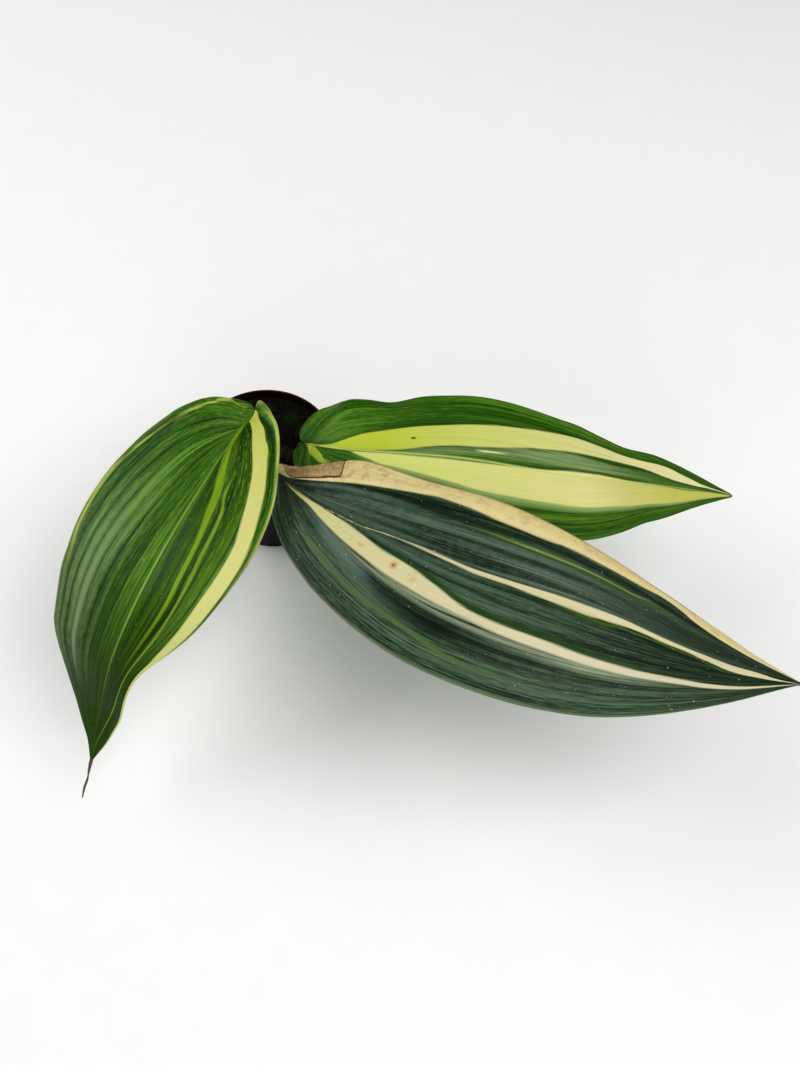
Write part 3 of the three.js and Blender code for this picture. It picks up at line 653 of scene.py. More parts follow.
def upperRight(seed):
    f = LeafFinish("leafRightUpper", seed)
    f.colour = f.greens((17, 50, 2), (44, 88, 8), (88, 130, 32), 1.15)
    f.coat((1 - f.u.ramp(0.04, 0.2)) * 0.5, 22, 58, 4)
    between = f.band(
        [(30, -10), (50, -10), (70, -40), (90, -30)],
        [(0, 0), (50, -2), (70, -12), (100, -10)], 3, (34, 45), (80, 92))
    f.coat(between * (f.fine * 0.7 + f.hair * 0.5).ramp(0.45, 0.7), 138, 162, 104)
    highEdge = [
        (16, -2), (25, -4), (30, -7), (34, -14), (37, -21), (40, -28), (43, -33), (47, -39), (50, -43),
        (54, -46), (58, -50), (64, -58), (68, -64), (72, -70), (76, -72), (81, -71), (84, -68),
        (87, -67), (90, -72), (91, -73), (93, -67), (95, -59), (96, -52), (99, -50),
    ]
    lowEdge = [
        (16, -1), (30, 0), (38, -1), (42, -1), (45, -3), (48, -5), (50, -8), (54, -14), (57, -17),
        (60, -19), (64, -25), (68, -33), (71, -39), (74, -42), (78, -44), (85, -45), (88, -42),
        (91, -33), (93, -29), (95, -29), (97, -37), (99, -38),
    ]
    f.coat(f.u.ramp(0.72, 0.95) * 0.45, 24, 56, 6)
    beside = f.band(moved(highEdge, -5), moved(lowEdge, 5), 4)
    f.coat(beside * 0.55, 22, 50, 6)
    first = f.band(highEdge, lowEdge, 1.2)
    tone = f.mix(f.u.ramp(0.45, 0.95), (178, 189, 54), (220, 210, 160))
    tone = f.over(tone, f.streak.ramp(0.5, 0.7) * 0.4, 160, 178, 60)
    tone = f.over(tone, f.spot(50, -24, 0.9, 200), 84, 92, 30)
    f.coat(first, tone)
    dash = f.stroke([(58, -12.5), (62, -14), (66, -16)], 1.6, (59.5, 61), (62.5, 64.5))
    f.coat(dash * 0.9, 206, 212, 130)
    secondLow = [
        (16, -1), (34, 1), (37, 2), (40, 9), (43, 16), (45, 22), (48, 26), (51, 30), (57, 38),
        (61, 44), (66, 47), (72, 50), (75, 52), (80, 54), (84, 58), (88, 60), (93, 64), (96, 59),
        (99, 54),
    ]
    fade = f.band([(0, 0), (100, 0)], moved(secondLow, 7), 4, (38, 46))
    f.coat(fade * 0.75, 146, 172, 100)
    secondHigh = [
        (16, -2), (36, 1), (39, 3), (44, 3), (52, 5), (61, 4), (66, 1), (69, -1), (73, -6), (78, -7),
        (81, -5), (85, -1), (88, 2), (91, 4), (94, 10), (96, 5), (99, 0),
    ]
    above = f.stroke(moved(secondHigh[4:], -3), 3.5, (50, 65))
    f.coat(above * 0.6, 22, 50, 6)
    second = f.band(secondHigh, secondLow, 1.4, (24, 34))
    tone = f.mix(f.u.ramp(0.4, 0.75), (204, 214, 108), (214, 208, 136))
    tone = f.over(tone, f.u.ramp(0.76, 0.92), 188, 184, 84)
    tone = f.over(tone, f.fine.ramp(0.5, 0.65) * 0.4, 182, 194, 88)
    f.coat(second, tone)
    base = f.band(
        [(7, 0), (12, 2), (18, 7), (26, 17), (30, 26)],
        [(6, 17), (15, 27), (23, 30), (27, 33), (30, 34)], 2, (4, 9), (29, 33))
    f.coat(base * (0.5 + f.fine * 0.8), 170, 188, 60)
    midrib = 1 - f.out.ramp(0.004, 0.018)
    f.coat(midrib * 0.75, 196, 206, 110)
    rim = f.out.ramp(0.97, 0.995)
    f.coat(rim * 0.6, 36, 66, 14)
    return f.close(0.42, 0.1)


def upperFront(seed):
    f = LeafFinish("leafFrontUpper", seed)
    f.colour = f.greens((1, 7, 2), (12, 29, 16), (68, 94, 62), 1.35, 0.35)
    f.coat((1 - f.u.ramp(0.12, 0.37)) * (0.55 + f.v.ramp(0.2, 0.5) * 0.2), 6, 19, 5)
    f.coat(f.u.ramp(0.72, 0.98) * 0.6, 8, 26, 8)
    # Painted sheen: a grey-green highlight, strongest between the cream margin and the midrib
    sheenArea = f.v.ramp(-0.6, -0.4) * (1 - f.v.ramp(0, 0.2))
    f.sheen(f.within(sheenArea * 0.6 + 0.4, (10, 30), (70, 90)), 84, 105, 90)
    # Painted highlight: a lighter grey-green sheen patch on the right half
    pale = f.band(
        [(34, 20), (40, 28), (47, 42), (54, 60)],
        [(34, 34), (40, 46), (47, 56), (54, 66)], 9, (29, 38), (50, 60))
    f.coat((pale * (0.3 + f.fine * 0.7 + f.streak * 0.4)).clamp(), 92, 114, 100)
    outer = f.v.ramp(0.4, 0.6) * (f.fine * 0.8 + f.fleck * 0.3).ramp(0.5, 0.74)
    f.coat(outer * 0.6, 86, 116, 80)
    # Painted shade: a dark hollow on the right half and a dark line along a valley on the left half
    hollowShade = f.band(
        [(40, 44), (50, 48), (60, 52), (75, 60)],
        [(40, 58), (50, 64), (60, 68), (75, 66)], 5, (46, 60), (60, 72))
    valleyShade = f.stroke(
        [(30, -40), (40, -52), (47, -59), (53, -58), (62, -60), (70, -66), (78, -66)],
        5, (30, 40), (72, 84))
    f.coat((hollowShade * 0.95).most(valleyShade * 0.7), 4, 16, 3)
    boundary = [
        (5, -20), (11, -20), (15, -27), (21, -34), (27, -40), (33, -48), (38, -56), (42, -63),
        (46, -70), (49, -74), (53, -78), (58, -76), (64, -73), (69, -74), (71, -77), (76, -79),
        (80, -83), (83, -88), (85, -86), (87, -80), (92, -73), (97, -70),
    ]
    cream = f.band([(0, -120), (100, -120)], boundary, 1.4)
    tone = f.mix(f.fine.ramp(0.42, 0.62) * 0.55, (214, 199, 137), (178, 158, 98))
    tone = f.over(tone, f.streak.ramp(0.5, 0.65) * 0.5, 190, 160, 112)
    smudge = f.noise(f.place(), 150, 4, 0.7).ramp(0.5, 0.62)
    tone = f.over(tone, smudge * (0.6 - f.u.ramp(0.3, 0.7) * 0.35), 146, 118, 80)
    tone = f.over(tone, f.stroke(moved(boundary, -4), 5) * 0.5, 218, 204, 152)
    f.coat(cream, tone)
    tinge = f.stroke([(60, -53), (70, -54), (78, -52), (84, -56)], 5, (56, 66), (80, 90))
    f.coat(tinge * 0.6, 50, 80, 26)
    thin = f.stroke(
        [(65, -54), (69, -55), (74, -57), (79, -59), (82, -65)], 1.2, (60, 68), (80, 88))
    f.coat((thin * (0.2 + f.dash)).clamp(), 128, 148, 60)
    hairline = f.stroke(
        [(10, 10), (29, 8.5), (37, 5), (43, 2), (49, -4), (57, -6.5)], 0.6, (10, 16), (54, 58))
    middle = f.band(
        [(50, -5.5), (54, -7), (57, -7), (62, -5.5), (66, -5.5), (71, -7), (75, -7.5), (79, -9),
         (81, -8), (84, -6), (86, -5), (88, -3), (90, 0), (92, 3), (95, 5), (97, 15), (99, 22)],
        [(50, -4.5), (54, -5), (57, -4), (60, -2), (62, -0.5), (66, 0), (69, 2), (73, 4), (75, 4.5),
         (77, 3), (81, 0), (84, 2), (86, 3), (88, 7), (90, 13), (92, 21), (95, 26), (97, 30),
         (99, 32)], 1, (50, 55))
    brushed = f.band([(50, -34), (65, -28), (85, -20)], [(50, -8), (85, -8)], 5, (50, 60), (70, 82))
    f.coat(brushed * (f.streak + f.fine).ramp(1, 1.2) * 0.6, 128, 148, 116)
    below = f.stroke(
        [(70, 5), (76, 7), (80, 4), (84, 5), (88, 10), (92, 24)], 2, (68, 76), (90, 96))
    f.coat(below * 0.7, 62, 96, 16)
    middle = middle.most(hairline * 0.8)
    f.coat(middle, f.mix(f.u.ramp(0.5, 0.9), (196, 190, 140), (208, 198, 160)))
    lowerHigh = [
        (15, 17), (24, 12), (33, 8), (39, 8), (45, 12), (49, 17), (53, 18), (56, 21), (59, 27),
        (62, 34), (66, 38), (70, 40), (76, 44), (81, 47), (87, 51), (89, 54), (97, 62),
    ]
    lowerLow = [
        (15, 19), (20, 20), (29, 19), (36, 25), (40, 29), (45, 33), (48, 35), (51, 37), (56, 38.5),
        (61, 41.5), (66, 46), (70, 48.5), (76, 52), (81, 55), (87, 59), (89, 62), (97, 70),
    ]
    lower = f.band(lowerHigh, lowerLow, 1.2, (13, 17))
    fringe = f.band(lowerHigh, moved(lowerLow, 8), 3, (40, 50), (76, 88))
    f.coat(fringe * (f.streak + f.fine).ramp(0.88, 1.12) * 0.8, 152, 162, 130)
    green = f.stroke(moved(lowerHigh[4:-3], -3), 3.5, (46, 56), (76, 86))
    f.coat(green * 0.85, 24, 58, 10)
    tone = f.mix(f.u.ramp(0.25, 0.75), (198, 194, 122), (208, 198, 168))
    tone = f.over(tone, f.fine.ramp(0.5, 0.65) * 0.4, 176, 170, 110)
    tone = f.over(tone, f.spot(52, 25, 2) * 0.6, 176, 138, 82)
    tone = f.over(tone, f.spot(52, 25, 0.9) * 0.75, 126, 78, 44)
    tinted = f.spot(55, 27.5, 2.6).most(f.spot(40, 19, 2.6)).most(f.spot(46, 23, 2.4))
    tone = f.over(tone, tinted * (f.mottle + f.fine).ramp(0.95, 1.15) * 0.6, 166, 152, 70)
    f.coat(lower, tone)
    light = f.stroke([(36, 62), (43, 65), (49, 71), (56, 72), (65, 82)], 3, (30, 38), (60, 70))
    f.coat(light * (f.fine + f.streak).ramp(0.45, 0.95), 72, 96, 54)
    rim = f.out.ramp(0.965, 0.99)
    f.coat(rim * (f.v > 0) * 0.6, 110, 130, 90)
    f.coat(rim * (f.v < 0) * 0.5, 132, 96, 58)
    # The dried patch on the left margin near the base, with its dark outline
    edge = f.line(
        [(8.5, -100), (9.5, -90), (11, -55), (12.5, -36), (15, -30), (19, -36), (25, -45), (29, -51),
         (34, -58)])
    crinkle = (f.mottle - 0.5) * 0.06
    depth = (edge + crinkle - f.v) * 0.06
    right = f.v * 0.07 + 0.362 + crinkle * 0.12 - f.u
    inside = depth.least(right).least(f.u - 0.087 + crinkle * 0.2)
    dry = f.mix(f.fine.ramp(0.3, 0.65), (194, 168, 116), (138, 110, 66))
    dry = f.over(dry, f.noise(f.place(), 420, 4, 0.7).ramp(0.48, 0.62) * 0.7, 104, 78, 50)
    dry = f.over(dry, f.v.ramp(-0.7, -0.55) * f.u.ramp(0.2, 0.3) * 0.5, 206, 184, 136)
    f.coat(inside.ramp(-0.0012, 0.0004), 80, 40, 26)
    f.coat(inside.ramp(0.0022, 0.0042), dry)
    return f.close(0.42, 0.5)


def underside(name, seed, *tones):
    f = LeafFinish(name, seed)
    f.colour = f.greens(*tones)
    f.coat((1 - f.out.ramp(0.01, 0.05)) * 0.7, 150, 170, 96)
    return f.close(0.55)


def stalkGreen():
    f = Finish("stalkGreen")
    place = f.place()
    streak = f.noise(f.node("ShaderNodeMapping", None, {0: place, 3: (1, 1, 0.12)}), 900, 3, 0.6)
    spots = f.noise(place, 700, 3, 0.5)
    f.colour = f.mix(streak.ramp(0.35, 0.7), (24, 48, 10), (62, 92, 28))
    f.coat(spots.ramp(0.62, 0.7) * 0.5, 60, 44, 22)
    return f.finish(0.4 + streak * 0.2, streak, 0.0002, 0.6, 0.05)


def driedTip():
    f = Finish("driedTip")
    grain = f.noise(f.place(), 1500, 3, 0.6)
    f.colour = f.mix(grain.ramp(0.35, 0.7), (46, 44, 24), (92, 80, 46))
    return f.finish(0.6 + grain * 0.2, grain, 0.0002, 0.7)


print("leaves: blades, stalks and tips")
stalkFinish, tipFinish = stalkGreen(), driedTip()
leafLooks = [  # leaf, finish of the upper face, seed, greens of the underside
    (leafLeft, upperLeft, 1, [(50, 84, 40), (84, 120, 62), (120, 150, 88)]),
    (leafRight, upperRight, 4, [(56, 90, 36), (96, 130, 56), (136, 160, 84)]),
    (leafFront, upperFront, 9, [(44, 70, 50), (72, 100, 72), (110, 132, 98)]),
]
for leaf, upper, seed, tones in leafLooks:
    finishes = [upper(seed), underside(leaf["piece"] + "Under", seed, *tones), stalkFinish, tipFinish]
    makePiece(leaf["piece"], [bladePart(leaf), *stalkParts(leaf)], finishes, leaf["slot"], leaf["node"])


# Pot
pot = {
    "height": 80, "rim": 50, "band": 10, "rimWall": 1.8, "proud": 1.6, "foot": 36, "wall": 1.2,
    "floor": 1.6, "sides": 192, "sharpAngle": 35,
    "holes": 8, "holeRadius": 3.5, "holeCircle": 27, "drill": [-3, 5], "drillSides": 32,
}


def innerRadius(z):
    foot, rim = pot["foot"] - pot["wall"], pot["rim"] - pot["rimWall"]
    return foot + (rim - foot) * z / pot["height"]


# A profile whose corners are rounded: each corner becomes an arc of even steps (a quadratic curve
# between the points where the rounding starts and ends)
def roundedProfile(corners, steps=6):
    points = []
    for (x0, z0, _), (x1, z1, radius), (x2, z2, _) in zip(corners, corners[1:], corners[2:]):
        here = np.array([x1, z1])
        before, after = unit(np.array([x0, z0]) - here), unit(np.array([x2, z2]) - here)
        for t in np.linspace(0, 1, steps):
            points.append(here + before * radius * (1 - t) ** 2 + after * radius * t ** 2)
    return np.array(points)


def potPart():
    foot, rim, top, floor = pot["foot"], pot["rim"], pot["height"], pot["floor"]
    bandFoot = top - pot["band"]
    outer = innerRadius(bandFoot) + pot["wall"]
    profile = roundedProfile([  # radius, height, rounding
        (0, 0, 0), (foot - 6, 0, 0.3), (foot - 5, 0.5, 0.3), (foot - 3, 0.5, 0.3), (foot - 2, 0, 0.3),
        (foot, 0, 0.9), (outer, bandFoot, 0.4), (outer + pot["proud"], bandFoot, 0.5),
        (rim - 0.35, top - 2.4, 0.3), (rim, top - 2, 0.3), (rim, top, 0.8),
        (innerRadius(top), top, 0.7), (innerRadius(floor), floor, 1.2), (0, floor, 0),
    ])
    radius, height = profile[:, :1], profile[:, 1:]
    angles = turns(pot["sides"])
    rings = stack(radius * np.cos(angles), radius * np.sin(angles), height)
    return ringsPart(rings, [(0, 0, 0), (0, 0, floor)], 0)


def drainPart():
    parts = []
    angles, heights = turns(pot["drillSides"]), np.array(pot["drill"])[:, None]
    ring = stack(pot["holeRadius"] * np.cos(angles), pot["holeRadius"] * np.sin(angles), heights)
    for turn in turns(pot["holes"]) + np.pi / pot["holes"]:
        x, y = pot["holeCircle"] * np.cos(turn), pot["holeCircle"] * np.sin(turn)
        parts.append(ringsPart(ring + [x, y, 0], [(x, y, height) for height in pot["drill"]], 0))
    return parts


def potPlastic():
    f = Finish("potPlastic")
    place = f.place()
    x, y, z = f.split(place)
    grain = f.noise(place, 1400, 3, 0.6)
    cloud = f.noise(place, 60, 3, 0.5)
    dust = f.noise(place, 320, 4, 0.65)
    f.colour = f.mix(cloud.ramp(0.35, 0.7), (10, 7, 5), (18, 12, 9))
    radius = (x * x + y * y) ** 0.5
    f.coat(z.ramp(0.0775, 0.0792) * radius.ramp(0.0488, 0.0494), 96, 50, 33)  # light on the rim's edge
    f.coat(dust.ramp(0.6, 0.75) * 0.2, 60, 50, 40)
    rings = (z * 9000 + cloud * 2).sine() * 0.3
    return f.finish(0.42 + grain * 0.16 + dust * 0.12, grain + rings, 0.00012, 0.6, 0.03)


print("pot: lathed shell with drain holes")
potPiece = makePiece("potShell", [potPart()], [potPlastic()], "pot_plastic", "pot")
drills = addObject("drills", makeMesh("drills", drainPart(), []))
cut = potPiece.modifiers.new("drain", "BOOLEAN")
cut.object, cut.solver = drills, "EXACT"
bpy.context.view_layer.update()
drilled = bpy.data.meshes.new_from_object(potPiece.evaluated_get(bpy.context.evaluated_depsgraph_get()))
potPiece.modifiers.clear()
potPiece.data = drilled
drilled.set_sharp_from_angle(angle=math.radians(pot["sharpAngle"]))
bpy.data.objects.remove(drills)


# Soil
soil = {
    "top": 72, "lump": 1.3, "bank": 2.5, "gap": 0.25, "rings": 110, "sides": 200, "crumb": 1.1,
    "crumbs": 1500, "chips": 110, "chip": (1.5, 0.8, 0.35), "reach": 46, "seed": 11,
    "moss": 2600, "mossReach": 45.5,
    "mossPlaces": [(-12, 46, 5), (17, 30, 6), (1, 37, 4), (26, 20, 5), (-30, 26, 6), (-38, -8, 5)],
}


# Height of the soil: low swells that fade towards the wall, a bank against it, and crumbs of three sizes
def soilHeight(x, y):
    swell = np.sin(x / 7 + 1) * np.cos(y / 6) + 0.6 * np.sin(x / 3.3 + y / 4.6)
    reach = np.hypot(x, y) / innerRadius(soil["top"])
    flat = stack(x, y, 0.5)
    crumbs = softNoise(flat / 1.7, 1) * 0.5 + softNoise(flat / 0.75, 2) * 0.3 + softNoise(flat / 4, 3) * 0.5
    rough = soil["crumb"] * crumbs * (1 - smooth(reach, 0.93, 0.99))
    return soil["top"] + soil["lump"] * swell * (1 - reach ** 4) + soil["bank"] * reach ** 4 + rough


def soilPart():
    foot, top = pot["floor"] + 0.1, soil["top"] + soil["bank"]
    heights = np.array([foot, 20, 40, 60])[:, None]
    sides = innerRadius(heights) - soil["gap"]
    radii = (innerRadius(top) - soil["gap"]) * np.linspace(1, 0.01, soil["rings"])[:, None]
    angles = turns(soil["sides"])
    x, y = radii * np.cos(angles), radii * np.sin(angles)
    wall = stack(sides * np.cos(angles), sides * np.sin(angles), heights)
    centre = soilHeight(np.zeros(1), np.zeros(1))[0]
    rings = np.concatenate([wall, stack(x, y, soilHeight(x, y))])
    return ringsPart(rings, [(0, 0, foot), (0, 0, centre)], 0)


# Many small copies of one form: turned, stretched and set down at random, each with its own shade
def scatter(points, faces, places, sizes, stretch, rng, rough=0.0):
    count = len(places)
    turned = np.linalg.qr(rng.normal(size=(count, 3, 3)))[0]
    turned[:, 0] *= np.linalg.det(turned)[:, None]
    shapes = points[None] * (1 + rough * rng.normal(size=(count, len(points), 1))) * stretch[:, None]
    shapes = np.einsum("nij,nkj->nki", turned, shapes) * sizes[:, None, None] + places[:, None]
    shades = np.repeat(rng.random(count), len(points))
    every = (faces[None] + (np.arange(count) * len(points))[:, None, None]).reshape(-1, faces.shape[1])
    return {"points": shapes, "faces": [(every, 0)], "ridge": shades}


def twentySided():
    g = (1 + 5 ** 0.5) / 2
    points = [
        (-1, g, 0), (1, g, 0), (-1, -g, 0), (1, -g, 0), (0, -1, g), (0, 1, g), (0, -1, -g), (0, 1, -g),
        (g, 0, -1), (g, 0, 1), (-g, 0, -1), (-g, 0, 1),
    ]
    faces = [
        (0, 11, 5), (0, 5, 1), (0, 1, 7), (0, 7, 10), (0, 10, 11), (1, 5, 9), (5, 11, 4), (11, 10, 2),
        (10, 7, 6), (7, 1, 8), (3, 9, 4), (3, 4, 2), (3, 2, 6), (3, 6, 8), (3, 8, 9), (4, 9, 5),
        (2, 4, 11), (6, 2, 10), (8, 6, 7), (9, 8, 1),
    ]
    return unit(np.array(points, float)), np.array(faces)


def crumbPart(rng):
    ball, faces = twentySided()
    count, chips = soil["crumbs"], soil["chips"]
    reach = soil["reach"] * np.sqrt(rng.random(count + chips))
    turn = 2 * np.pi * rng.random(count + chips)
    x, y = reach * np.cos(turn), reach * np.sin(turn)
    sizes = np.concatenate([0.35 + 0.9 * rng.random(count) ** 3, 1.1 + 1.2 * rng.random(chips)])
    crumbs = 0.7 + 0.5 * rng.random((count, 3))
    flat = [soil["chip"]] * (0.8 + 0.4 * rng.random((chips, 3)))
    x, y = x * (1 - sizes / 60), y * (1 - sizes / 60)  # large ones keep further from the wall
    places = stack(x, y, soilHeight(x, y) + 0.15 * sizes)
    return scatter(ball, faces, places, sizes, np.concatenate([crumbs, flat]), rng, 0.14)


# Moss: small upright spikes, crowded towards the middle of each tuft
def mossPart(rng):
    count = soil["moss"]
    tufts = np.array(soil["mossPlaces"], float)[rng.integers(0, len(soil["mossPlaces"]), count)]
    spread = tufts[:, 2:] * rng.normal(size=(count, 2)) * 0.45
    x, y = (tufts[:, :2] + spread).T
    keep = np.hypot(x, y) < soil["mossReach"]
    x, y = x[keep], y[keep]
    count = len(x)
    height = 0.7 + 1.1 * rng.random(count)
    lean = rng.normal(size=(count, 2)) * 0.45
    angles = 2 * np.pi * rng.random(count)[:, None] + np.array([0, 2.1, 4.2])
    base = stack(x, y, soilHeight(x, y) - 0.2)
    ring = base[:, None] + 0.28 * stack(np.cos(angles), np.sin(angles), 0)
    tip = base + stack(lean[:, 0] * height, lean[:, 1] * height, height)
    spike = np.array([(0, 1, 3), (1, 2, 3), (2, 0, 3), (0, 2, 1)])
    faces = (spike[None] + 4 * np.arange(count)[:, None, None]).reshape(-1, 3)
    points = np.concatenate([ring, tip[:, None]], axis=1)
    return {"points": points, "faces": [(faces, 0)], "ridge": np.repeat(rng.random(count), 4)}


def soilFinish(name, dark, light, size):
    f = Finish(name)
    place = f.place()
    clumps = f.noise(place, 260, 5, 0.7)
    grit = f.noise(place, 1500, 3, 0.7)
    tone = (clumps * 0.7 + grit * 0.5 + f.shade() * 0.5 - 0.35).clamp()
    f.colour = f.mix(tone, dark, light)
    return f.finish(0.8 + grit * 0.2, clumps + grit * 0.6, size, 0.9, 0.06)


print("soil: bed, crumbs and moss")
rng = np.random.default_rng(soil["seed"])
dark = soilFinish("soilDark", (3, 3, 2), (17, 14, 10), 0.0006)
makePiece("soilBed", [soilPart()], [dark], "potting_soil", "soil")
crumb = soilFinish("soilCrumb", (5, 4, 3), (36, 28, 20), 0.0003)
makePiece("soilCrumbs", [crumbPart(rng)], [crumb], "potting_soil")
green = soilFinish("mossGreen", (12, 26, 5), (48, 74, 20), 0.0002)
makePiece("soilMoss", [mossPart(rng)], [green], "potting_soil")


# Creeping stem. A path point is x, y and how far it dips below the stem's height.
creeper = {
    "height": 71, "radius": 5.4, "ring": 0.5, "pitch": 5, "sides": 40, "stations": 150,
    "rootRadius": 1.5, "rootTip": 0.8, "rootSides": 10, "rootSteps": 24,
    "main": [[-24, 13, 2], [-6, 10, 0], [14, 2, 0], [32, -6, 2]],
    "fork": [[4, 7, 0], [3, -4, 0], [2, -12, 0], [1, -20, 2]],
    "roots": [
        [[-18, 11], [-27, 12, 34]], [[-4, 9], [-8, 22, 26]], [[16, 2], [27, 9, 32]], [[6, 4], [9, 3, 22]],
        [[2, -15], [-4, -26, 30]],
    ],
}


# Radius = stem radius + a ring at each old leaf scar + noise, drawn in round at both ends
def creeperPart(points):
    points = np.array([(x, y, creeper["height"] - dip) for x, y, dip in points], float)
    share = np.linspace(0, 1, creeper["stations"])
    path = through(points, share)
    length = np.linalg.norm(np.diff(path, axis=0), axis=1).sum()
    phase = 2 * np.pi * share * length / creeper["pitch"]
    ring = creeper["ring"] * np.cos(phase) + 0.15 * np.maximum(np.cos(phase), 0) ** 12
    near = np.minimum(6 * np.minimum(share, 1 - share), 1)
    roundEnd = np.sqrt(np.minimum(1, 0.02 + 0.98 * near * (2 - near)))
    angles = turns(creeper["sides"])
    around = stack(3 * np.cos(angles), 3 * np.sin(angles), share[:, None] * length / 3)
    knobs = 1 + 0.05 * softNoise(around, 12)
    radii = ((creeper["radius"] + ring) * roundEnd)[:, None] * knobs
    side = np.cross(np.gradient(path, axis=0), [0.0, 0.0, 1.0])
    return rodPart(path, radii, side, creeper["sides"], 0)


def rootPart(start, end):
    start, end = np.array([*start, creeper["height"]], float), np.array(end, float)
    bend = np.array([end[0], end[1], creeper["height"] * 0.65 + end[2] * 0.35])
    t = np.linspace(0, 1, creeper["rootSteps"])[:, None]
    path = start * (1 - t) ** 2 + 2 * bend * t * (1 - t) + end * t * t
    radii = creeper["rootRadius"] * (1 - t) + creeper["rootTip"] * t
    return rodPart(path, radii, unit(np.array([start[1], -start[0], 0.0])), creeper["rootSides"], 0)


# Papery sheaths round the foot of each stalk. The wall is a loop: up the outside to a ragged mouth and
# back down the inside, carried round the stalk.
sheaths = [
    {"leaf": leafLeft, "length": 17.5, "foot": 5.2, "mouth": 3.9, "turn": 0.4},
    {"leaf": leafLeft, "length": 10.0, "foot": 5.7, "mouth": 5.1, "turn": 2.6},
    {"leaf": leafRight, "length": 17.5, "foot": 5.2, "mouth": 3.8, "turn": 1.4},
    {"leaf": leafRight, "length": 9.0, "foot": 5.7, "mouth": 5.2, "turn": 4.1},
    {"leaf": leafFront, "length": 17.0, "foot": 5.2, "mouth": 3.9, "turn": 3.0},
    {"leaf": leafFront, "length": 9.5, "foot": 5.7, "mouth": 5.1, "turn": 5.2},
]
paper = {"sides": 72, "steps": 26, "pathSteps": 240, "ribs": 22, "wall": 0.3}


def sheathPart(sheath):
    path, side = stalkPath(sheath["leaf"], paper["pathSteps"])
    run, (across, up) = runAlong(path), sideways(path, side)
    angles = turns(paper["sides"])
    turned = angles + sheath["turn"]
    x, y = 2 * np.cos(turned), 2 * np.sin(turned)
    ring = stack(x, y, sheath["foot"])
    ragged = 0.86 + 0.12 * np.sin(turned) + 0.16 * softNoise(ring, 31) + 0.07 * softNoise(ring * 4, 32)
    steps = np.linspace(0, 1, paper["steps"])
    share = np.concatenate([steps, steps[::-1]])[:, None]
    inside = np.concatenate([0 * steps, 0 * steps + 1])[:, None]
    far = np.minimum(share * ragged * sheath["length"], run[-1])
    ribs = 0.1 * np.cos(paper["ribs"] * turned) + 0.25 * softNoise(stack(x, y, share * 3), 33)
    flare = 0.5 * smooth(share, 0.75, 1) * softNoise(ring * 1.3, 34)
    radius = sheath["foot"] + (sheath["mouth"] - sheath["foot"]) * share + ribs + flare
    radius = radius - paper["wall"] * inside
    path, across, up = (
        stack(*(np.interp(far, run, axis) for axis in field.T)) for field in (path, across, up))
    points = path + radius[..., None] * (np.cos(angles)[:, None] * across + np.sin(angles)[:, None] * up)
    rows, sides = far.shape
    first = np.arange(sides)
    last = first + (rows - 1) * sides
    foot = stack(last, first, np.roll(first, -1), np.roll(last, -1))
    faces = [(gridFaces(rows, sides, closed=True, flip=True), 0), (foot, 0)]
    return {"points": points, "faces": faces, "uv": stack(angles / (2 * np.pi), far / 20)}


def creeperSkin():
    f = Finish("creeperSkin")
    place = f.place()
    bark = f.noise(place, 240, 5, 0.65)
    fibre = f.noise(f.node("ShaderNodeMapping", None, {0: place, 3: (1, 1, 0.3)}), 1300, 3, 0.6)
    # The stem's own dark brown, made darker still as painted shade for the shade it lies in under the
    # leaves
    f.colour = f.mix(bark.ramp(0.3, 0.7), (12, 9, 6), (34, 26, 17))
    f.coat(fibre.ramp(0.5, 0.75) * 0.5, 52, 70, 30)
    return f.finish(0.75 + bark * 0.2, bark + fibre * 0.5, 0.0005, 0.9, 0.15)


def sheathPaper():
    f = Finish("sheathPaper")
    x, y, _ = f.surface()
    turn = x * (2 * math.pi)
    ring = f.vector(turn.sine() * 14, (turn + math.pi / 2).sine() * 14, y * 1.2)
    fibres = f.noise(ring, 1, 4, 0.7)
    spots = f.noise(f.place(), 500, 3, 0.6)
    f.colour = f.mix(fibres.ramp(0.35, 0.65), (70, 52, 30), (140, 116, 76))
    f.coat((y - 0.2 + spots * 0.3).ramp(0.1, 0.6) * 0.6, 96, 62, 36)
    f.coat(spots.ramp(0.6, 0.7) * 0.6, 60, 40, 24)
    return f.finish(0.65 + spots * 0.2, fibres, 0.0004, 0.8, 0.2)


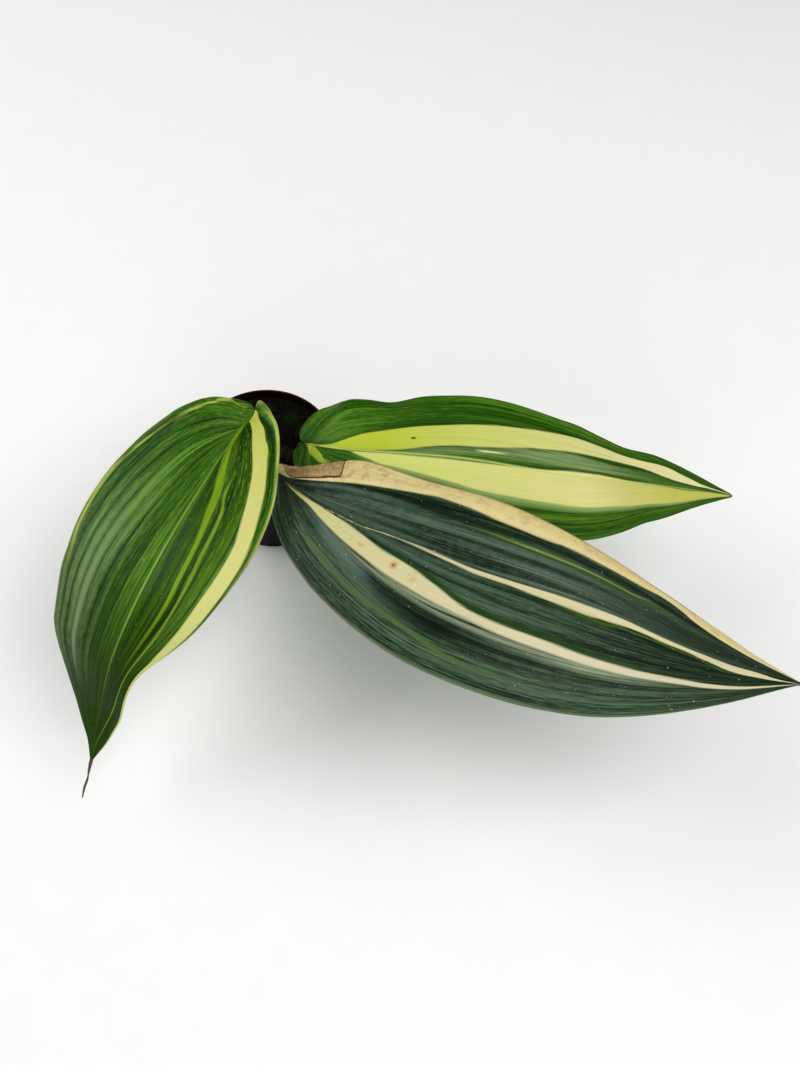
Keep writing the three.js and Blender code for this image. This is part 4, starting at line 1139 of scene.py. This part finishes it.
print("creeping stem, roots and sheaths")
stemParts = [creeperPart(creeper["main"]), creeperPart(creeper["fork"])]
stemParts += [rootPart(start, end) for start, end in creeper["roots"]]
makePiece("creepingStem", stemParts, [creeperSkin()], "stem_skin", "rhizome")
makePiece("stalkSheaths", [sheathPart(sheath) for sheath in sheaths], [sheathPaper()], "stem_skin")


# Floor, lights and camera
studio = {
    "floor": (244, 244, 243), "floorGrain": (241, 241, 240), "half": 3000, "world": 0.16,
    "camera": (0.0945, -0.3532, 0.6745), "tilt": 26, "lens": 33.803, "sensor": 36, "near": 0.01,
    "lamps": [  # place, aimed at, size, watts
        ((-1.3, 0.45, 1.35), (0.1, -0.08, 0.1), 1.5, 20),
        ((0.95, -0.35, 1.75), (0.1, -0.08, 0.1), 1.5, 25),
        ((-0.2, -1.6, 1.2), (0.1, -0.08, 0.1), 1.2, 9),
    ],
}


def makeFloor():
    f = Finish("paleFloor")
    grain = f.noise(f.place(), 40, 3, 0.5)
    f.colour = f.mix(grain, studio["floor"], studio["floorGrain"])
    half = studio["half"]
    corners = np.array([(-half, -half, 0), (half, -half, 0), (half, half, 0), (-half, half, 0)], float)
    part = {"points": corners, "faces": [(np.array([[0, 1, 2, 3]]), 0)]}
    floor = addObject("floor", makeMesh("floor", [part], [f.finish(0.85)]))


def makeLights():
    world = bpy.data.worlds.new("studioLight")
    world.use_nodes = True
    world.node_tree.nodes["Background"].inputs["Color"].default_value = (1, 1, 1, 1)
    world.node_tree.nodes["Background"].inputs["Strength"].default_value = studio["world"]
    bpy.context.scene.world = world
    for i, (place, aim, size, watts) in enumerate(studio["lamps"]):
        lamp = bpy.data.lights.new(f"softLamp{i}", "AREA")
        lamp.shape, lamp.size, lamp.energy = "DISK", size, watts
        holder = addObject(f"softLamp{i}", lamp)
        holder.location = place
        holder.rotation_euler = (Vector(aim) - Vector(place)).to_track_quat("-Z", "Y").to_euler()


def makeCamera():
    data = bpy.data.cameras.new("photoCamera")
    data.lens, data.sensor_width, data.clip_start = studio["lens"], studio["sensor"], studio["near"]
    camera = addObject("photoCamera", data)
    camera.location = studio["camera"]
    camera.rotation_euler = (math.radians(studio["tilt"]), 0, 0)
    bpy.context.scene.camera = camera


print("floor, lights and camera")
makeFloor()
makeLights()
makeCamera()
bpy.context.scene.view_settings.view_transform = "Standard"
